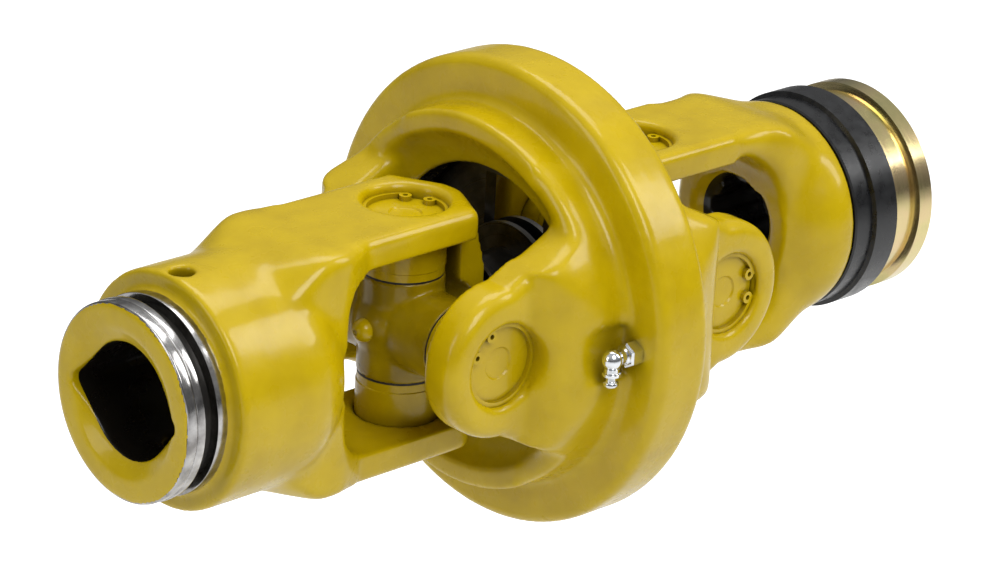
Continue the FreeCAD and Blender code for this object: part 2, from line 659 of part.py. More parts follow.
drill(tractor_yoke, "spline_end_sink", "YZ_Plane", 0, 0, sizes.lock_hub_end - sizes.spline_sink, sizes.spline_sink,
      sizes.spline_major - BALL_LIP, mouth=sizes.spline_major - BALL_LIP + sizes.spline_sink)

ball_seat = sizes.spline_major + BALL_LIP
ball_centre = sizes.lock_hub_radius + sizes.run_clearance - sizes.lock_ball_radius
ball_seat_radius = root(sizes.lock_ball_radius * sizes.lock_ball_radius
                        - (ball_centre - ball_seat) * (ball_centre - ball_seat)) + sizes.run_clearance
lock_angles = [360 / LOCK_BALLS * (count + 0.25) for count in range(LOCK_BALLS)]


def radial_hole(body, name, place, angle, start, length, radius):
    """Hole along a radius of the X axis, at an angle from Z."""
    hole = add_feature(body, "PartDesign::SubtractiveCylinder", name)
    hole.AttachmentSupport = [(origin_plane(body, "XY_Plane"), "")]
    hole.MapMode = "FlatFace"
    hole.AttachmentOffset = FreeCAD.Placement(vector(0, 0, 0), FreeCAD.Rotation(vector(1, 0, 0), angle))
    bind(hole, ".AttachmentOffset.Base.x", place)
    bind(hole, ".AttachmentOffset.Base.y", -math.sin(math.radians(angle)) * start)
    bind(hole, ".AttachmentOffset.Base.z", math.cos(math.radians(angle)) * start)
    bind(hole, "Height", length)
    bind(hole, "Radius", radius)


for count, angle in enumerate(lock_angles):
    radial_hole(tractor_yoke, f"lock_seat_{count}", sizes.lock_ball_place, angle,
                sizes.spline_minor - PAST, ball_seat - sizes.spline_minor + PAST, ball_seat_radius)
    radial_hole(tractor_yoke, f"lock_hole_{count}", sizes.lock_ball_place, angle,
                ball_seat, sizes.lock_hub_radius + PAST - ball_seat,
                sizes.lock_ball_radius + sizes.run_clearance)

ear_holes(tractor_yoke, TRACTOR_SIDE, "XY_Plane", sizes.ear_face, sizes.yoke_cap_face, sizes.ear_face + PAST)
stud_socket(tractor_yoke, TRACTOR_SIDE)


# Ball studs pressed into the bridges

def stand_on(body, side, direction, distance):
    """Place a piece made along +Z on a line from a cross centre, at a distance from it."""
    body.Placement = FreeCAD.Placement(vector(0, 0, 0), FreeCAD.Rotation(vector(0, 0, 1), direction))
    bind(body, ".Placement.Base.x", along(side, 0) + as_size(direction.x) * distance)
    bind(body, ".Placement.Base.y", as_size(direction.y) * distance)
    bind(body, ".Placement.Base.z", as_size(direction.z) * distance)


def ball_stud(label, side):
    """Guide ball on a short neck, with a shank in the bridge."""
    body = new_body(label)
    turned = new_sketch(body, label + "_profile", "XZ_Plane")
    ball, stud = sizes.ball_radius, sizes.stud_radius
    neck_reach = root(ball * ball - stud * stud)
    shank_end = sizes.bridge_front - sizes.stud_depth
    centre = sizes.ball_reach - shank_end
    closed_outline(turned, [
        (0, 0), (stud, 0), (stud, centre - neck_reach, ball), (ball, centre, ball), (0, centre + ball),
    ])
    turn_on_axis(body, turned, axis="V_Axis")
    stand_on(body, side, vector(-side, 0, 0), shank_end)


ball_stud("tube_ball_stud", TUBE_SIDE)
ball_stud("tractor_ball_stud", TRACTOR_SIDE)


# Crosses

seal_start_yoke = sizes.yoke_cap_face - sizes.cap_length - sizes.seal_width
seal_start_housing = sizes.housing_cap_face - sizes.cap_length - sizes.seal_width


def cross(label, side):
    """Forged spider with two short arms along Z and two long arms along Y."""
    body = new_body(label)
    face = sizes.spider_radius
    for tag, role, axis, shoulder, cap_face in (
            ("short", "XZ_Plane", "V_Axis", seal_start_yoke, sizes.yoke_cap_face),
            ("long", "XY_Plane", "V_Axis", seal_start_housing, sizes.housing_cap_face)):
        end = cap_face - sizes.cap_floor - HAIR
        arm = new_sketch(body, f"{label}_{tag}_arms", role)
        start = shoulder - HAIR / 2
        closed_outline(arm, [
            (0, -end), (trunnion_radius - BREAK, -end), (trunnion_radius, BREAK - end),
            (trunnion_radius, -start), (face, -start), (face, start), (trunnion_radius, start),
            (trunnion_radius, end - BREAK), (trunnion_radius - BREAK, end), (0, end),
        ])
        turn_on_axis(body, arm, axis=axis)
    web = new_sketch(body, label + "_web", "YZ_Plane")
    wide, high = seal_start_housing - 4 * MERGE, seal_start_yoke - MERGE
    edge = sizes.spider_face - MERGE
    cove = sizes.spider_cove
    closed_outline(web, [
        (edge, high, cove), (wide, edge), (wide, -edge, cove), (edge, -high),
        (-edge, -high, cove), (-wide, -edge), (-wide, edge, cove), (-edge, high),
    ])
    pad(body, web, 2 * sizes.spider_face)
    depth = sizes.nipple_screw + PAST
    start = face - sizes.nipple_screw if side > 0 else -face - PAST
    drill(body, label + "_nipple_hole", "YZ_Plane", 0, 0, start, depth, sizes.nipple_thread)
    body.Placement = FreeCAD.Placement(vector(0, 0, 0), FreeCAD.Rotation())
    bind(body, ".Placement.Base.x", along(side, 0))


cross("tube_cross", TUBE_SIDE)
cross("tractor_cross", TRACTOR_SIDE)


def cross_nipple(label, side):
    """Grease nipple in the cross's outer face, with a short ball head."""
    body = new_body(label)
    turned = new_sketch(body, label + "_profile", "XZ_Plane")
    head = sizes.nipple_head
    base, mouth = sizes.spider_radius, sizes.nipple_mouth
    base_radius = head - 1.6
    centre = base + root(head * head - base_radius * base_radius)
    bottom = base - sizes.nipple_screw
    dimple = centre + head - PAST * HAIR
    closed_outline(turned, [
        (0, bottom), (sizes.nipple_thread, bottom), (sizes.nipple_thread, base), (base_radius, base, head),
        (head, centre, head), (mouth, centre + head - HAIR), (mouth, dimple), (0, dimple),
    ])
    turn_on_axis(body, turned, axis="V_Axis")
    stand_on(body, side, vector(side, 0, 0), 0)


cross_nipple("tube_cross_nipple", TUBE_SIDE)
cross_nipple("tractor_cross_nipple", TRACTOR_SIDE)


# Bearing caps, needle rollers and seals on the eight arms

ARMS = (
    ("top", vector(0, 0, 1), sizes.yoke_cap_face), ("bottom", vector(0, 0, -1), sizes.yoke_cap_face),
    ("near", vector(0, -1, 0), sizes.housing_cap_face), ("far", vector(0, 1, 0), sizes.housing_cap_face),
)


def bearing_cap(label):
    """Cup with a shallow dimple in its face and a lip line near its open end."""
    body = new_body(label)
    cup = new_sketch(body, label + "_profile", "XZ_Plane")
    outside, inside, length = sizes.cap_radius, cap_bore, sizes.cap_length
    lip, line, dent = outside - sizes.cap_lip_step, sizes.cap_lip_width, length - sizes.cap_dimple_depth
    closed_outline(cup, [
        (inside, 0), (lip, 0), (lip, line), (outside, line + sizes.cap_lip_step),
        (outside, length - BREAK), (outside - BREAK, length), (sizes.cap_dimple, length),
        (sizes.cap_dimple - sizes.cap_dimple_depth, dent), (0, dent),
        (0, length - sizes.cap_floor), (inside, length - sizes.cap_floor),
    ])
    turn_on_axis(body, cup, axis="V_Axis")
    return body


def sleeve(label, inner, outer, start, length):
    """Plain turned ring along +Z."""
    body = new_body(label)
    ring = new_sketch(body, label + "_profile", "XZ_Plane")
    closed_outline(ring, [(inner, start), (outer, start), (outer, start + length), (inner, start + length)])
    turn_on_axis(body, ring, axis="V_Axis")
    return body


for prefix, side in (("tube", TUBE_SIDE), ("tractor", TRACTOR_SIDE)):
    for arm_name, direction, cap_face in ARMS:
        inner_end = cap_face - sizes.cap_length
        stand_on(bearing_cap(f"{prefix}_cap_{arm_name}"), side, direction, inner_end)
        needle_start = sizes.cap_length - sizes.cap_floor - sizes.needle_length - BREAK
        needles = sleeve(f"{prefix}_needles_{arm_name}", trunnion_radius + sizes.run_clearance, cap_bore,
                         needle_start, sizes.needle_length)
        stand_on(needles, side, direction, inner_end)
        seal = sleeve(f"{prefix}_seal_{arm_name}", trunnion_radius + sizes.run_clearance,
                      sizes.cap_radius - BALL_LIP, -sizes.seal_width, sizes.seal_width)
        stand_on(seal, side, direction, inner_end)


# Snap rings, grouped by the piece that holds them

def snap_ring(label, side, direction, face, gap_angle):
    """Internal snap ring with two eyed lugs beside its gap."""
    ring = document.addObject("PartDesign::Body", label)
    outer = groove_radius - HAIR / 2
    inner = groove_radius - sizes.ring_width
    plan = new_sketch(ring, label + "_plan", "XY_Plane")
    gap = RING_GAP
    stops = [gap, 90, 180, 270, 360 - gap]
    corners = []
    for radius, order, turn in ((outer, stops, 1), (inner, stops[::-1], -1)):
        for place, angle in enumerate(order):
            spot = (math.cos(math.radians(angle)) * radius, math.sin(math.radians(angle)) * radius)
            corners.append(spot if place == len(order) - 1 else spot + (turn * radius,))
    closed_outline(plan, corners)
    pad(ring, plan, sizes.ring_thickness, symmetric=False)
    lug_reach = inner - sizes.ring_lug / 2
    lugs = new_sketch(ring, label + "_lugs", "XY_Plane")
    eyes = new_sketch(ring, label + "_eyes", "XY_Plane", lift=sizes.ring_thickness)
    for angle in (gap + LUG_TURN, -gap - LUG_TURN):
        spot = (math.cos(math.radians(angle)) * lug_reach, math.sin(math.radians(angle)) * lug_reach)
        round_outline(lugs, spot[0], spot[1], sizes.ring_lug)
        round_outline(eyes, spot[0], spot[1], sizes.ring_lug * EYE_SHARE)
    pad(ring, lugs, sizes.ring_thickness, symmetric=False)
    pocket(ring, eyes, sizes.ring_thickness, symmetric=False)
    aim = FreeCAD.Rotation(vector(0, 0, 1), direction)
    spin = FreeCAD.Rotation(direction, gap_angle)
    ring.Placement = FreeCAD.Placement(vector(0, 0, 0), spin.multiply(aim))
    bind(ring, ".Placement.Base.x", along(side, 0))
    bind(ring, ".Placement.Base.y", as_size(direction.y) * face)
    bind(ring, ".Placement.Base.z", as_size(direction.z) * face)
    return ring


def group_of(label, pieces):
    """Several like solids kept in one named piece."""
    group = document.addObject("Part::Compound", label)
    group.Links = pieces
    group.Label = label
    sub_parts.append(group)


for prefix, side in (("tube", TUBE_SIDE), ("tractor", TRACTOR_SIDE)):
    group_of(f"{prefix}_yoke_rings", [
        snap_ring(f"{prefix}_ring_top", side, vector(0, 0, 1), sizes.yoke_cap_face, 27),
        snap_ring(f"{prefix}_ring_bottom", side, vector(0, 0, -1), sizes.yoke_cap_face, 0),
    ])
housing_face = sizes.housing_cap_face
group_of("housing_rings", [
    snap_ring("housing_ring_near_tube", TUBE_SIDE, vector(0, -1, 0), housing_face, 135),
    snap_ring("housing_ring_far_tube", TUBE_SIDE, vector(0, 1, 0), housing_face, 0),
    snap_ring("housing_ring_near_tractor", TRACTOR_SIDE, vector(0, -1, 0), housing_face, 0),
    snap_ring("housing_ring_far_tractor", TRACTOR_SIDE, vector(0, 1, 0), housing_face, 0),
])


# Centre housing: two forged halves welded at the rim round the guide disc

def housing_half(label, side):
    """Half flange with its boss, scooped mouth and two trunnion ears."""
    body = new_body(label)
    shell = new_sketch(body, label + "_shell", "XZ_Plane")
    rim, flange, cove = sizes.flange_round, sizes.flange_half, sizes.boss_cove
    boss, end = sizes.boss_radius, sizes.boss_end
    turn = side
    edge = sizes.boss_edge
    closed_outline(shell, [
        (0, sizes.cavity_radius), (0, sizes.flange_radius),
        (side * (flange - rim), sizes.flange_radius, -turn * rim),
        (side * flange, sizes.flange_radius - rim), (side * flange, boss + cove, turn * cove),
        (side * (flange + cove), boss), (side * (end - edge), boss, -turn * edge), (side * end, boss - edge),
        (side * end, sizes.mouth_flare, turn * sizes.mouth_scoop),
        (side * sizes.mouth_depth, sizes.mouth_radius),
        (side * sizes.cavity_half, sizes.mouth_radius), (side * sizes.cavity_half, sizes.cavity_radius),
    ])
    turn_on_axis(body, shell)

    tip, inset = sizes.housing_tip_radius, sizes.housing_tip_centre
    root_x = side * (sizes.cavity_half + sizes.boss_cove)
    for direction in EAR_DIRECTIONS:
        ear = new_sketch(body, f"{label}_ear_{'far' if direction > 0 else 'near'}", "XZ_Plane",
                         lift=-direction * sizes.housing_ear_inside)
        outline = [
            (root_x, sizes.housing_root_depth), (side * end, sizes.housing_root_height),
            (along(side, -inset), tip, -turn * tip), (along(side, tip - inset), 0, -turn * tip),
            (along(side, -inset), -tip), (side * end, -sizes.housing_root_height),
            (root_x, -sizes.housing_root_depth),
        ]
        closed_outline(ear, outline)
        thickness = sizes.boss_radius - sizes.housing_ear_inside + PAST
        pad(body, ear, thickness, symmetric=False, reverse=direction > 0)

    # The ears ramp up from their outer face to the boss
    ramp = new_sketch(body, label + "_ramp", "XY_Plane")
    face, beyond = sizes.housing_ear_face, sizes.boss_radius + CLEAR
    for direction in EAR_DIRECTIONS:
        outline = [
            (along(side, tip + PAST), face),
            (along(side, -sizes.ramp_start), face, side * direction * sizes.ramp_hollow),
            (side * (end + MERGE), boss - cove), (side * (end - MERGE), boss), (side * (end - MERGE), beyond),
            (along(side, tip + PAST), beyond),
        ]
        closed_outline(ramp, [(item[0], direction * item[1]) + item[2:] for item in outline])
    pocket(body, ramp, 4 * sizes.housing_root_depth)

    trim = new_sketch(body, label + "_trim", "XZ_Plane")
    reach = along(side, tip + PAST)
    trim_start = flange + 2 * TOUCH
    closed_outline(trim, [
        (side * trim_start, boss + cove, turn * cove), (side * (trim_start + cove), boss), (reach, boss),
        (reach, 2 * boss), (side * trim_start, 2 * boss),
    ])
    turn_on_axis(body, trim, "PartDesign::Groove")

    ear_face = sizes.housing_ear_face.value
    ear_start = abs(along(side, -sizes.ramp_start).value)

    def ear_edge(edge, middle):
        return abs(abs(middle.y) - ear_face) < TOUCH and abs(middle.x) > ear_start + HAIR

    round_edges(body, label + "_ear_round", sizes.housing_ear_round, ear_edge)

    opening_start = 0 if side > 0 else -sizes.ear_relief
    drill(body, label + "_opening", "YZ_Plane", 0, 0, opening_start, sizes.ear_relief, sizes.mouth_radius)
    ear_holes(body, side, "XZ_Plane", sizes.housing_ear_face, housing_face, sizes.boss_radius + CLEAR)
    return body


tube_half = housing_half("housing_half_tube", TUBE_SIDE)
tractor_half = housing_half("housing_half_tractor", TUBE_SIDE)
tractor_half.Placement = FreeCAD.Placement(vector(0, 0, 0), FreeCAD.Rotation(vector(0, 0, 1), 180))

notch = new_sketch(tube_half, "nipple_notch", "XZ_Plane", lift=sizes.boss_radius - sizes.notch_depth)
notch_low = sizes.nipple_up - sizes.notch_half_width
notch_high = sizes.nipple_up + sizes.notch_half_width
closed_outline(notch, [
    (-sizes.flange_half, notch_low), (-sizes.flange_half, notch_high),
    (-sizes.boss_end - MERGE, notch_high), (-sizes.boss_end - MERGE, notch_low),
])
pocket(tube_half, notch, sizes.notch_depth + CLEAR, symmetric=False, reverse=True)
drill(tube_half, "nipple_hole", "YZ_Plane", -sizes.nipple_radius, sizes.nipple_up, -sizes.flange_half - MERGE,
      sizes.flange_half, sizes.nipple_thread)


# Guide disc and centring bush in the housing's cavity

def rectangle(across_low, across_high, up_low, up_high):
    return [(across_low, up_low), (across_high, up_low), (across_high, up_high), (across_low, up_high)]


guide_disc = new_body("guide_disc")
disc_profile = new_sketch(guide_disc, "disc_profile", "XZ_Plane")
rim_half = sizes.cavity_half - sizes.seat_gap
rim_inside = sizes.disc_radius - sizes.disc_rim
web = sizes.disc_web_half
closed_outline(disc_profile, [
    (-web, 0), (web, 0), (web, rim_inside), (rim_half, rim_inside), (rim_half, sizes.disc_radius),
    (-rim_half, sizes.disc_radius), (-rim_half, rim_inside), (-web, rim_inside),
])
turn_on_axis(guide_disc, disc_profile)
disc_slot = new_sketch(guide_disc, "disc_slot", "YZ_Plane")
block = sizes.bush_radius + sizes.bush_shoulder
slot_half_width = block + sizes.run_clearance
slot_half_length = block + sizes.bush_travel + MERGE
closed_outline(disc_slot, rectangle(-slot_half_width, slot_half_width, -slot_half_length, slot_half_length))
pocket(guide_disc, disc_slot, 4 * web)

centring_bush = new_body("centring_bush")
bush_profile = new_sketch(centring_bush, "bush_profile", "XZ_Plane")
bore, outside, reach = sizes.bush_bore, sizes.bush_radius, sizes.bush_half_length
plate_start = web + HAIR / 2
lead = sizes.bush_lead
closed_outline(bush_profile, [
    (-reach, bore + lead), (lead - reach, bore), (reach - lead, bore), (reach, bore + lead),
    (reach, outside - BREAK), (reach - BREAK, outside), (BREAK - reach, outside), (-reach, outside - BREAK),
])
turn_on_axis(centring_bush, bush_profile)
bush_block = new_sketch(centring_bush, "bush_block", "YZ_Plane")
closed_outline(bush_block, rectangle(-block, block, -block, block))
round_outline(bush_block, 0, 0, outside - BREAK)
pad(centring_bush, bush_block, 2 * plate_start)

for prefix, low, high in (("tube", -rim_half, -plate_start), ("tractor", plate_start, rim_half)):
    bush_plate = new_body(f"bush_plate_{prefix}")
    plate_profile = new_sketch(bush_plate, f"{prefix}_plate_profile", "XZ_Plane")
    closed_outline(plate_profile, rectangle(low, high, outside, sizes.bush_plate_radius))
    turn_on_axis(bush_plate, plate_profile)


# Elbow grease nipple on the flange

def bind_place(piece, x, y, z, direction):
    """Place a piece made along +Z."""
    piece.Placement = FreeCAD.Placement(vector(0, 0, 0), FreeCAD.Rotation(vector(0, 0, 1), direction))
    bind(piece, ".Placement.Base.x", x)
    bind(piece, ".Placement.Base.y", y)
    bind(piece, ".Placement.Base.z", z)


def solid(kind, name, **measures):
    piece = document.addObject(kind, name)
    for measure, size in measures.items():
        bind(piece, measure, size)
    return piece


nipple_place = -sizes.nipple_radius
outward = vector(-1, 0, 0)
stem = solid("Part::Cylinder", "nipple_stem", Radius=sizes.nipple_thread, Height=sizes.flange_half - sizes.cavity_half - BALL_LIP)
bind_place(stem, -sizes.cavity_half - BALL_LIP, nipple_place, sizes.nipple_up, outward)
hexagon = solid("Part::Prism", "nipple_hexagon", Circumradius=sizes.nipple_hex / math.sqrt(3),
                Height=sizes.nipple_hex_height)
hexagon.Polygon = 6
bind_place(hexagon, -sizes.flange_half, nipple_place, sizes.nipple_up, outward)
elbow_place = sizes.flange_half + sizes.nipple_neck
neck = solid("Part::Cylinder", "nipple_neck", Radius=sizes.nipple_elbow - FINE_BREAK, Height=sizes.nipple_neck)
bind_place(neck, -sizes.flange_half, nipple_place, sizes.nipple_up, outward)
elbow = solid("Part::Sphere", "nipple_elbow_ball", Radius=sizes.nipple_elbow)
bind_place(elbow, -elbow_place, nipple_place, sizes.nipple_up, outward)
nozzle_radius = sizes.nipple_elbow - sizes.nozzle_step
nozzle = solid("Part::Cylinder", "nipple_nozzle", Radius=nozzle_radius, Height=sizes.nozzle_length)
bind_place(nozzle, -elbow_place, nipple_place, sizes.nipple_up, vector(0, 0, -1))
nozzle_tip = solid("Part::Cone", "nipple_nozzle_tip", Radius1=nozzle_radius + sizes.nozzle_lip,
                   Radius2=nozzle_radius / 2, Height=sizes.nozzle_tip)
bind_place(nozzle_tip, -elbow_place, nipple_place, sizes.nipple_up - sizes.nozzle_length, vector(0, 0, -1))
housing_nipple = document.addObject("Part::MultiFuse", "housing_nipple")
housing_nipple.Shapes = [stem, hexagon, neck, elbow, nozzle, nozzle_tip]
housing_nipple.Label = "housing_nipple"
sub_parts.append(housing_nipple)


# Guard ring, pull collar and its lock on the splined yoke's hub

guard_ring = new_body("guard_ring")
guard_profile = new_sketch(guard_ring, "guard_profile", "XZ_Plane")
guard_inside = sizes.collar_shell_radius + sizes.seat_gap
bevel = sizes.guard_ring_bevel
closed_outline(guard_profile, [
    (sizes.ring_seat_start, sizes.ring_seat_radius), (seat_end, sizes.ring_seat_radius), (seat_end, guard_inside),
    (sizes.guard_ring_end, guard_inside), (sizes.guard_ring_end, sizes.guard_ring_large - bevel),
    (sizes.guard_ring_end - bevel, sizes.guard_ring_large), (sizes.guard_ring_step, sizes.guard_ring_large),
    (sizes.guard_ring_step - bevel, sizes.guard_ring_small),
    (sizes.ring_seat_start + bevel, sizes.guard_ring_small),
    (sizes.ring_seat_start, sizes.guard_ring_small - bevel),
])
turn_on_axis(guard_ring, guard_profile)

pull_collar = new_body("pull_collar")
collar_profile = new_sketch(pull_collar, "collar_profile", "XZ_Plane")
core = sizes.lock_hub_radius + 2 * sizes.run_clearance
core_outside = core + sizes.collar_core_wall
recess = core + sizes.lock_recess
recess_start = sizes.lock_ball_place + sizes.recess_offset
shell = sizes.collar_shell_radius
shell_inside = shell - sizes.collar_shell_wall
web_start, web_end = sizes.collar_web_start, sizes.collar_web_start + sizes.collar_web
rim_start = sizes.collar_end - sizes.collar_rim_band
rim_groove = sizes.rim_groove
closed_outline(collar_profile, [
    (sizes.collar_core_start, core), (recess_start, core), (recess_start + sizes.recess_ramp, recess),
    (sizes.collar_core_end, recess), (sizes.collar_core_end, core_outside), (web_end, core_outside),
    (web_end, shell_inside), (rim_start, shell_inside),
    (sizes.collar_end - BREAK, shell_inside + sizes.rim_flare),
    (sizes.collar_end, shell_inside + sizes.rim_flare + 2 * HAIR),
    (sizes.collar_end, sizes.collar_rim_radius - BREAK),
    (sizes.collar_end - BREAK, sizes.collar_rim_radius), (rim_start, sizes.collar_rim_radius),
    (rim_start - rim_groove, shell - rim_groove), (rim_start - 2 * rim_groove, shell - rim_groove),
    (rim_start - 3 * rim_groove, shell),
    (sizes.collar_start, shell), (sizes.collar_start, shell_inside), (web_start, shell_inside),
    (web_start, core_outside), (sizes.collar_core_start, core_outside),
])
turn_on_axis(pull_collar, collar_profile)

balls = []
for count, angle in enumerate(lock_angles):
    ball = solid("Part::Sphere", f"lock_ball_{count}", Radius=sizes.lock_ball_radius)
    across = -math.sin(math.radians(angle)) * ball_centre
    bind_place(ball, sizes.lock_ball_place, across, math.cos(math.radians(angle)) * ball_centre, vector(0, 0, 1))
    balls.append(ball)
group_of("locking_balls", balls)

stop_ring = new_body("collar_stop_ring")
stop_profile = new_sketch(stop_ring, "stop_profile", "XZ_Plane")
closed_outline(stop_profile, rectangle(
    stop_start + sizes.run_clearance, stop_end - sizes.run_clearance, stop_floor + HAIR / 2,
    core_outside + MERGE))
turn_on_axis(stop_ring, stop_profile)

wire = sizes.spring_wire / 2
spring_end = web_start - sizes.run_clearance
coil_rise = spring_end - seat_end - 2 * wire
spring = document.addObject("Part::Feature", "collar_spring")


def ring_of_points(centre_across, radius, count):
    """Corners of a regular polygon that stands upright beside the Z axis."""
    steps = [2 * math.pi * step / count for step in range(count)]
    return [vector(centre_across + radius * math.cos(turn), 0, radius * math.sin(turn)) for turn in steps]


coil_steps = SPRING_TURNS * COIL_SIDES
coil_points = []
for step in range(coil_steps + 1):
    turn = 2 * math.pi * step / COIL_SIDES
    rise = coil_rise.value * step / coil_steps
    coil_points.append(vector(sizes.spring_radius.value * math.cos(turn),
                              sizes.spring_radius.value * math.sin(turn), rise))
wire_points = ring_of_points(sizes.spring_radius.value, wire.value, WIRE_SIDES)
wire_outline = Part.Wire(Part.makePolygon(wire_points + wire_points[:1]))
coil_line = Part.Wire(Part.makePolygon(coil_points).Edges)
spring.Shape = coil_line.makePipeShell([wire_outline], True, False, 1)
spring.Label = "collar_spring"
bind_place(spring, seat_end + wire, 0, 0, vector(1, 0, 0))
sub_parts.append(spring)


# Check and export

document.recompute()
for item in document.Objects:
    if "Invalid" in item.State or "Error" in item.State:
        raise RuntimeError(f"{item.Name} failed: {item.State}")
os.makedirs("parts", exist_ok=True)
for piece in sub_parts:
    if piece.Shape.isNull() or not piece.Shape.isValid():
        raise RuntimeError(f"{piece.Label} has no valid shape")
    piece.Shape.exportStep(f"parts/{piece.Label}.step")
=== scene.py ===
"""Looks of the wide-angle universal joint: soft painted forgings, turned steel and plated trim."""
import json
import math

import bmesh
import bpy
from mathutils import Matrix, Vector


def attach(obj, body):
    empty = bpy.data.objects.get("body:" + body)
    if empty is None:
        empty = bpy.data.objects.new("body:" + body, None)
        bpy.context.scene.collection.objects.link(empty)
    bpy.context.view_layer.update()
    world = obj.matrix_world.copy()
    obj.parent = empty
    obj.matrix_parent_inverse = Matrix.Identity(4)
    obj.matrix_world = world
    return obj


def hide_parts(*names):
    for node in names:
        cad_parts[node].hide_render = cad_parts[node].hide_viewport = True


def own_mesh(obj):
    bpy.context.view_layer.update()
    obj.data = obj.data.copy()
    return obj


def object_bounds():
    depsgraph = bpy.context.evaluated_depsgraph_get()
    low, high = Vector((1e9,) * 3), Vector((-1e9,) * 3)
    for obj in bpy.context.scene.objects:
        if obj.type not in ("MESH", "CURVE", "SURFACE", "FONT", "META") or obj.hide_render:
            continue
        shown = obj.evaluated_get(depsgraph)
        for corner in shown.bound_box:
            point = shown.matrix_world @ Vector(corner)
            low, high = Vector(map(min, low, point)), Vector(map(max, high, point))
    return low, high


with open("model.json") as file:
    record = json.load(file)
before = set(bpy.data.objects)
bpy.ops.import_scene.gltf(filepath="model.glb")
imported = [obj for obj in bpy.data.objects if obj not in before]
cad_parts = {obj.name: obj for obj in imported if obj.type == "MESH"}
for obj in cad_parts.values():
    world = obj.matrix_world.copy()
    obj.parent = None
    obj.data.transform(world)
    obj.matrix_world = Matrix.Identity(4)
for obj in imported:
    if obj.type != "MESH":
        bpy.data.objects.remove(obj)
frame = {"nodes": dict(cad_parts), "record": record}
cad_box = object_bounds()
nodes = frame["nodes"]

MM = 0.001


# Sizes repeated from the CAD, in metres

CROSS_X = 64.5 * MM
HUB_SHOULDER = 188.7 * MM
NOSE_END = 210.0 * MM
NOSE_RADIUS = 40.6 * MM
GROOVE_START = 195.0 * MM
GROOVE_END = 201.2 * MM
GROOVE_RADIUS = 36.0 * MM
SPRING_START = 164.5 * MM
SPRING_END = 183.95 * MM
FLANGE_FACE = 13.75 * MM
NIPPLE_Y = -84.5 * MM
NIPPLE_Z = 1.0 * MM


# Shader building

NOISE_ROUGHNESS = 0.55


def new_material(name):
    material = bpy.data.materials.new(name)
    material.use_nodes = True
    return material, material.node_tree, material.node_tree.nodes["Principled BSDF"]


def linear(red, green, blue):
    """Linear colour of an sRGB colour given as 0 to 255."""
    def channel(value):
        share = value / 255
        return share / 12.92 if share <= 0.04045 else ((share + 0.055) / 1.055) ** 2.4
    return (channel(red), channel(green), channel(blue), 1.0)


def grey(value):
    return (value, value, value, 1.0)


def greys(*values):
    return [grey(value) for value in values]


def add(tree, kind, **settings):
    """New node; each setting is an input socket's value or else a property."""
    node = tree.nodes.new(kind)
    for key, value in settings.items():
        if key in node.inputs:
            node.inputs[key].default_value = value
        else:
            setattr(node, key, value)
    return node


def object_place(tree):
    return add(tree, "ShaderNodeTexCoord").outputs["Object"]


def noise(tree, place, scale, detail):
    """Grey noise; scale is features per metre."""
    texture = add(tree, "ShaderNodeTexNoise", Scale=scale, Detail=detail, Roughness=NOISE_ROUGHNESS)
    tree.links.new(place, texture.inputs["Vector"])
    return texture.outputs["Fac"]


def ramp(tree, factor, places, colours):
    """Colour ramp with its colours at the given places."""
    node = add(tree, "ShaderNodeValToRGB")
    elements = node.color_ramp.elements
    while len(elements) < len(places):
        elements.new(0.5)
    for element, place, colour in zip(elements, places, colours):
        element.position = place
        element.color = colour
    tree.links.new(factor, node.inputs["Fac"])
    return node.outputs["Color"]


def bump(tree, shader, layers):
    """Stack bumps; each layer is (height, strength, distance in metres)."""
    normal = None
    for height, strength, distance in layers:
        node = add(tree, "ShaderNodeBump", Strength=strength, Distance=distance)
        tree.links.new(height, node.inputs["Height"])
        if normal is not None:
            tree.links.new(normal, node.inputs["Normal"])
        normal = node.outputs["Normal"]
    tree.links.new(normal, shader.inputs["Normal"])


def blended(tree, factor, base, over):
    """Colour that goes from a linked base to a plain colour as the factor rises."""
    node = add(tree, "ShaderNodeMix", data_type="RGBA")
    tree.links.new(factor, node.inputs["Factor"])
    tree.links.new(base, node.inputs["A"])
    node.inputs["B"].default_value = over
    return node.outputs["Result"]


def turned_place(tree, axis):
    """Coordinates (along the axis, distance from it), for marks left by turning."""
    place = object_place(tree)
    split = add(tree, "ShaderNodeSeparateXYZ")
    tree.links.new(place, split.inputs["Vector"])
    across = [name for name in "XYZ" if name != axis]
    flat = add(tree, "ShaderNodeCombineXYZ")
    tree.links.new(split.outputs[across[0]], flat.inputs["X"])
    tree.links.new(split.outputs[across[1]], flat.inputs["Y"])
    length = add(tree, "ShaderNodeVectorMath", operation="LENGTH")
    tree.links.new(flat.outputs["Vector"], length.inputs[0])
    pair = add(tree, "ShaderNodeCombineXYZ")
    tree.links.new(split.outputs[axis], pair.inputs["X"])
    tree.links.new(length.outputs["Value"], pair.inputs["Y"])
    return pair.outputs["Vector"]


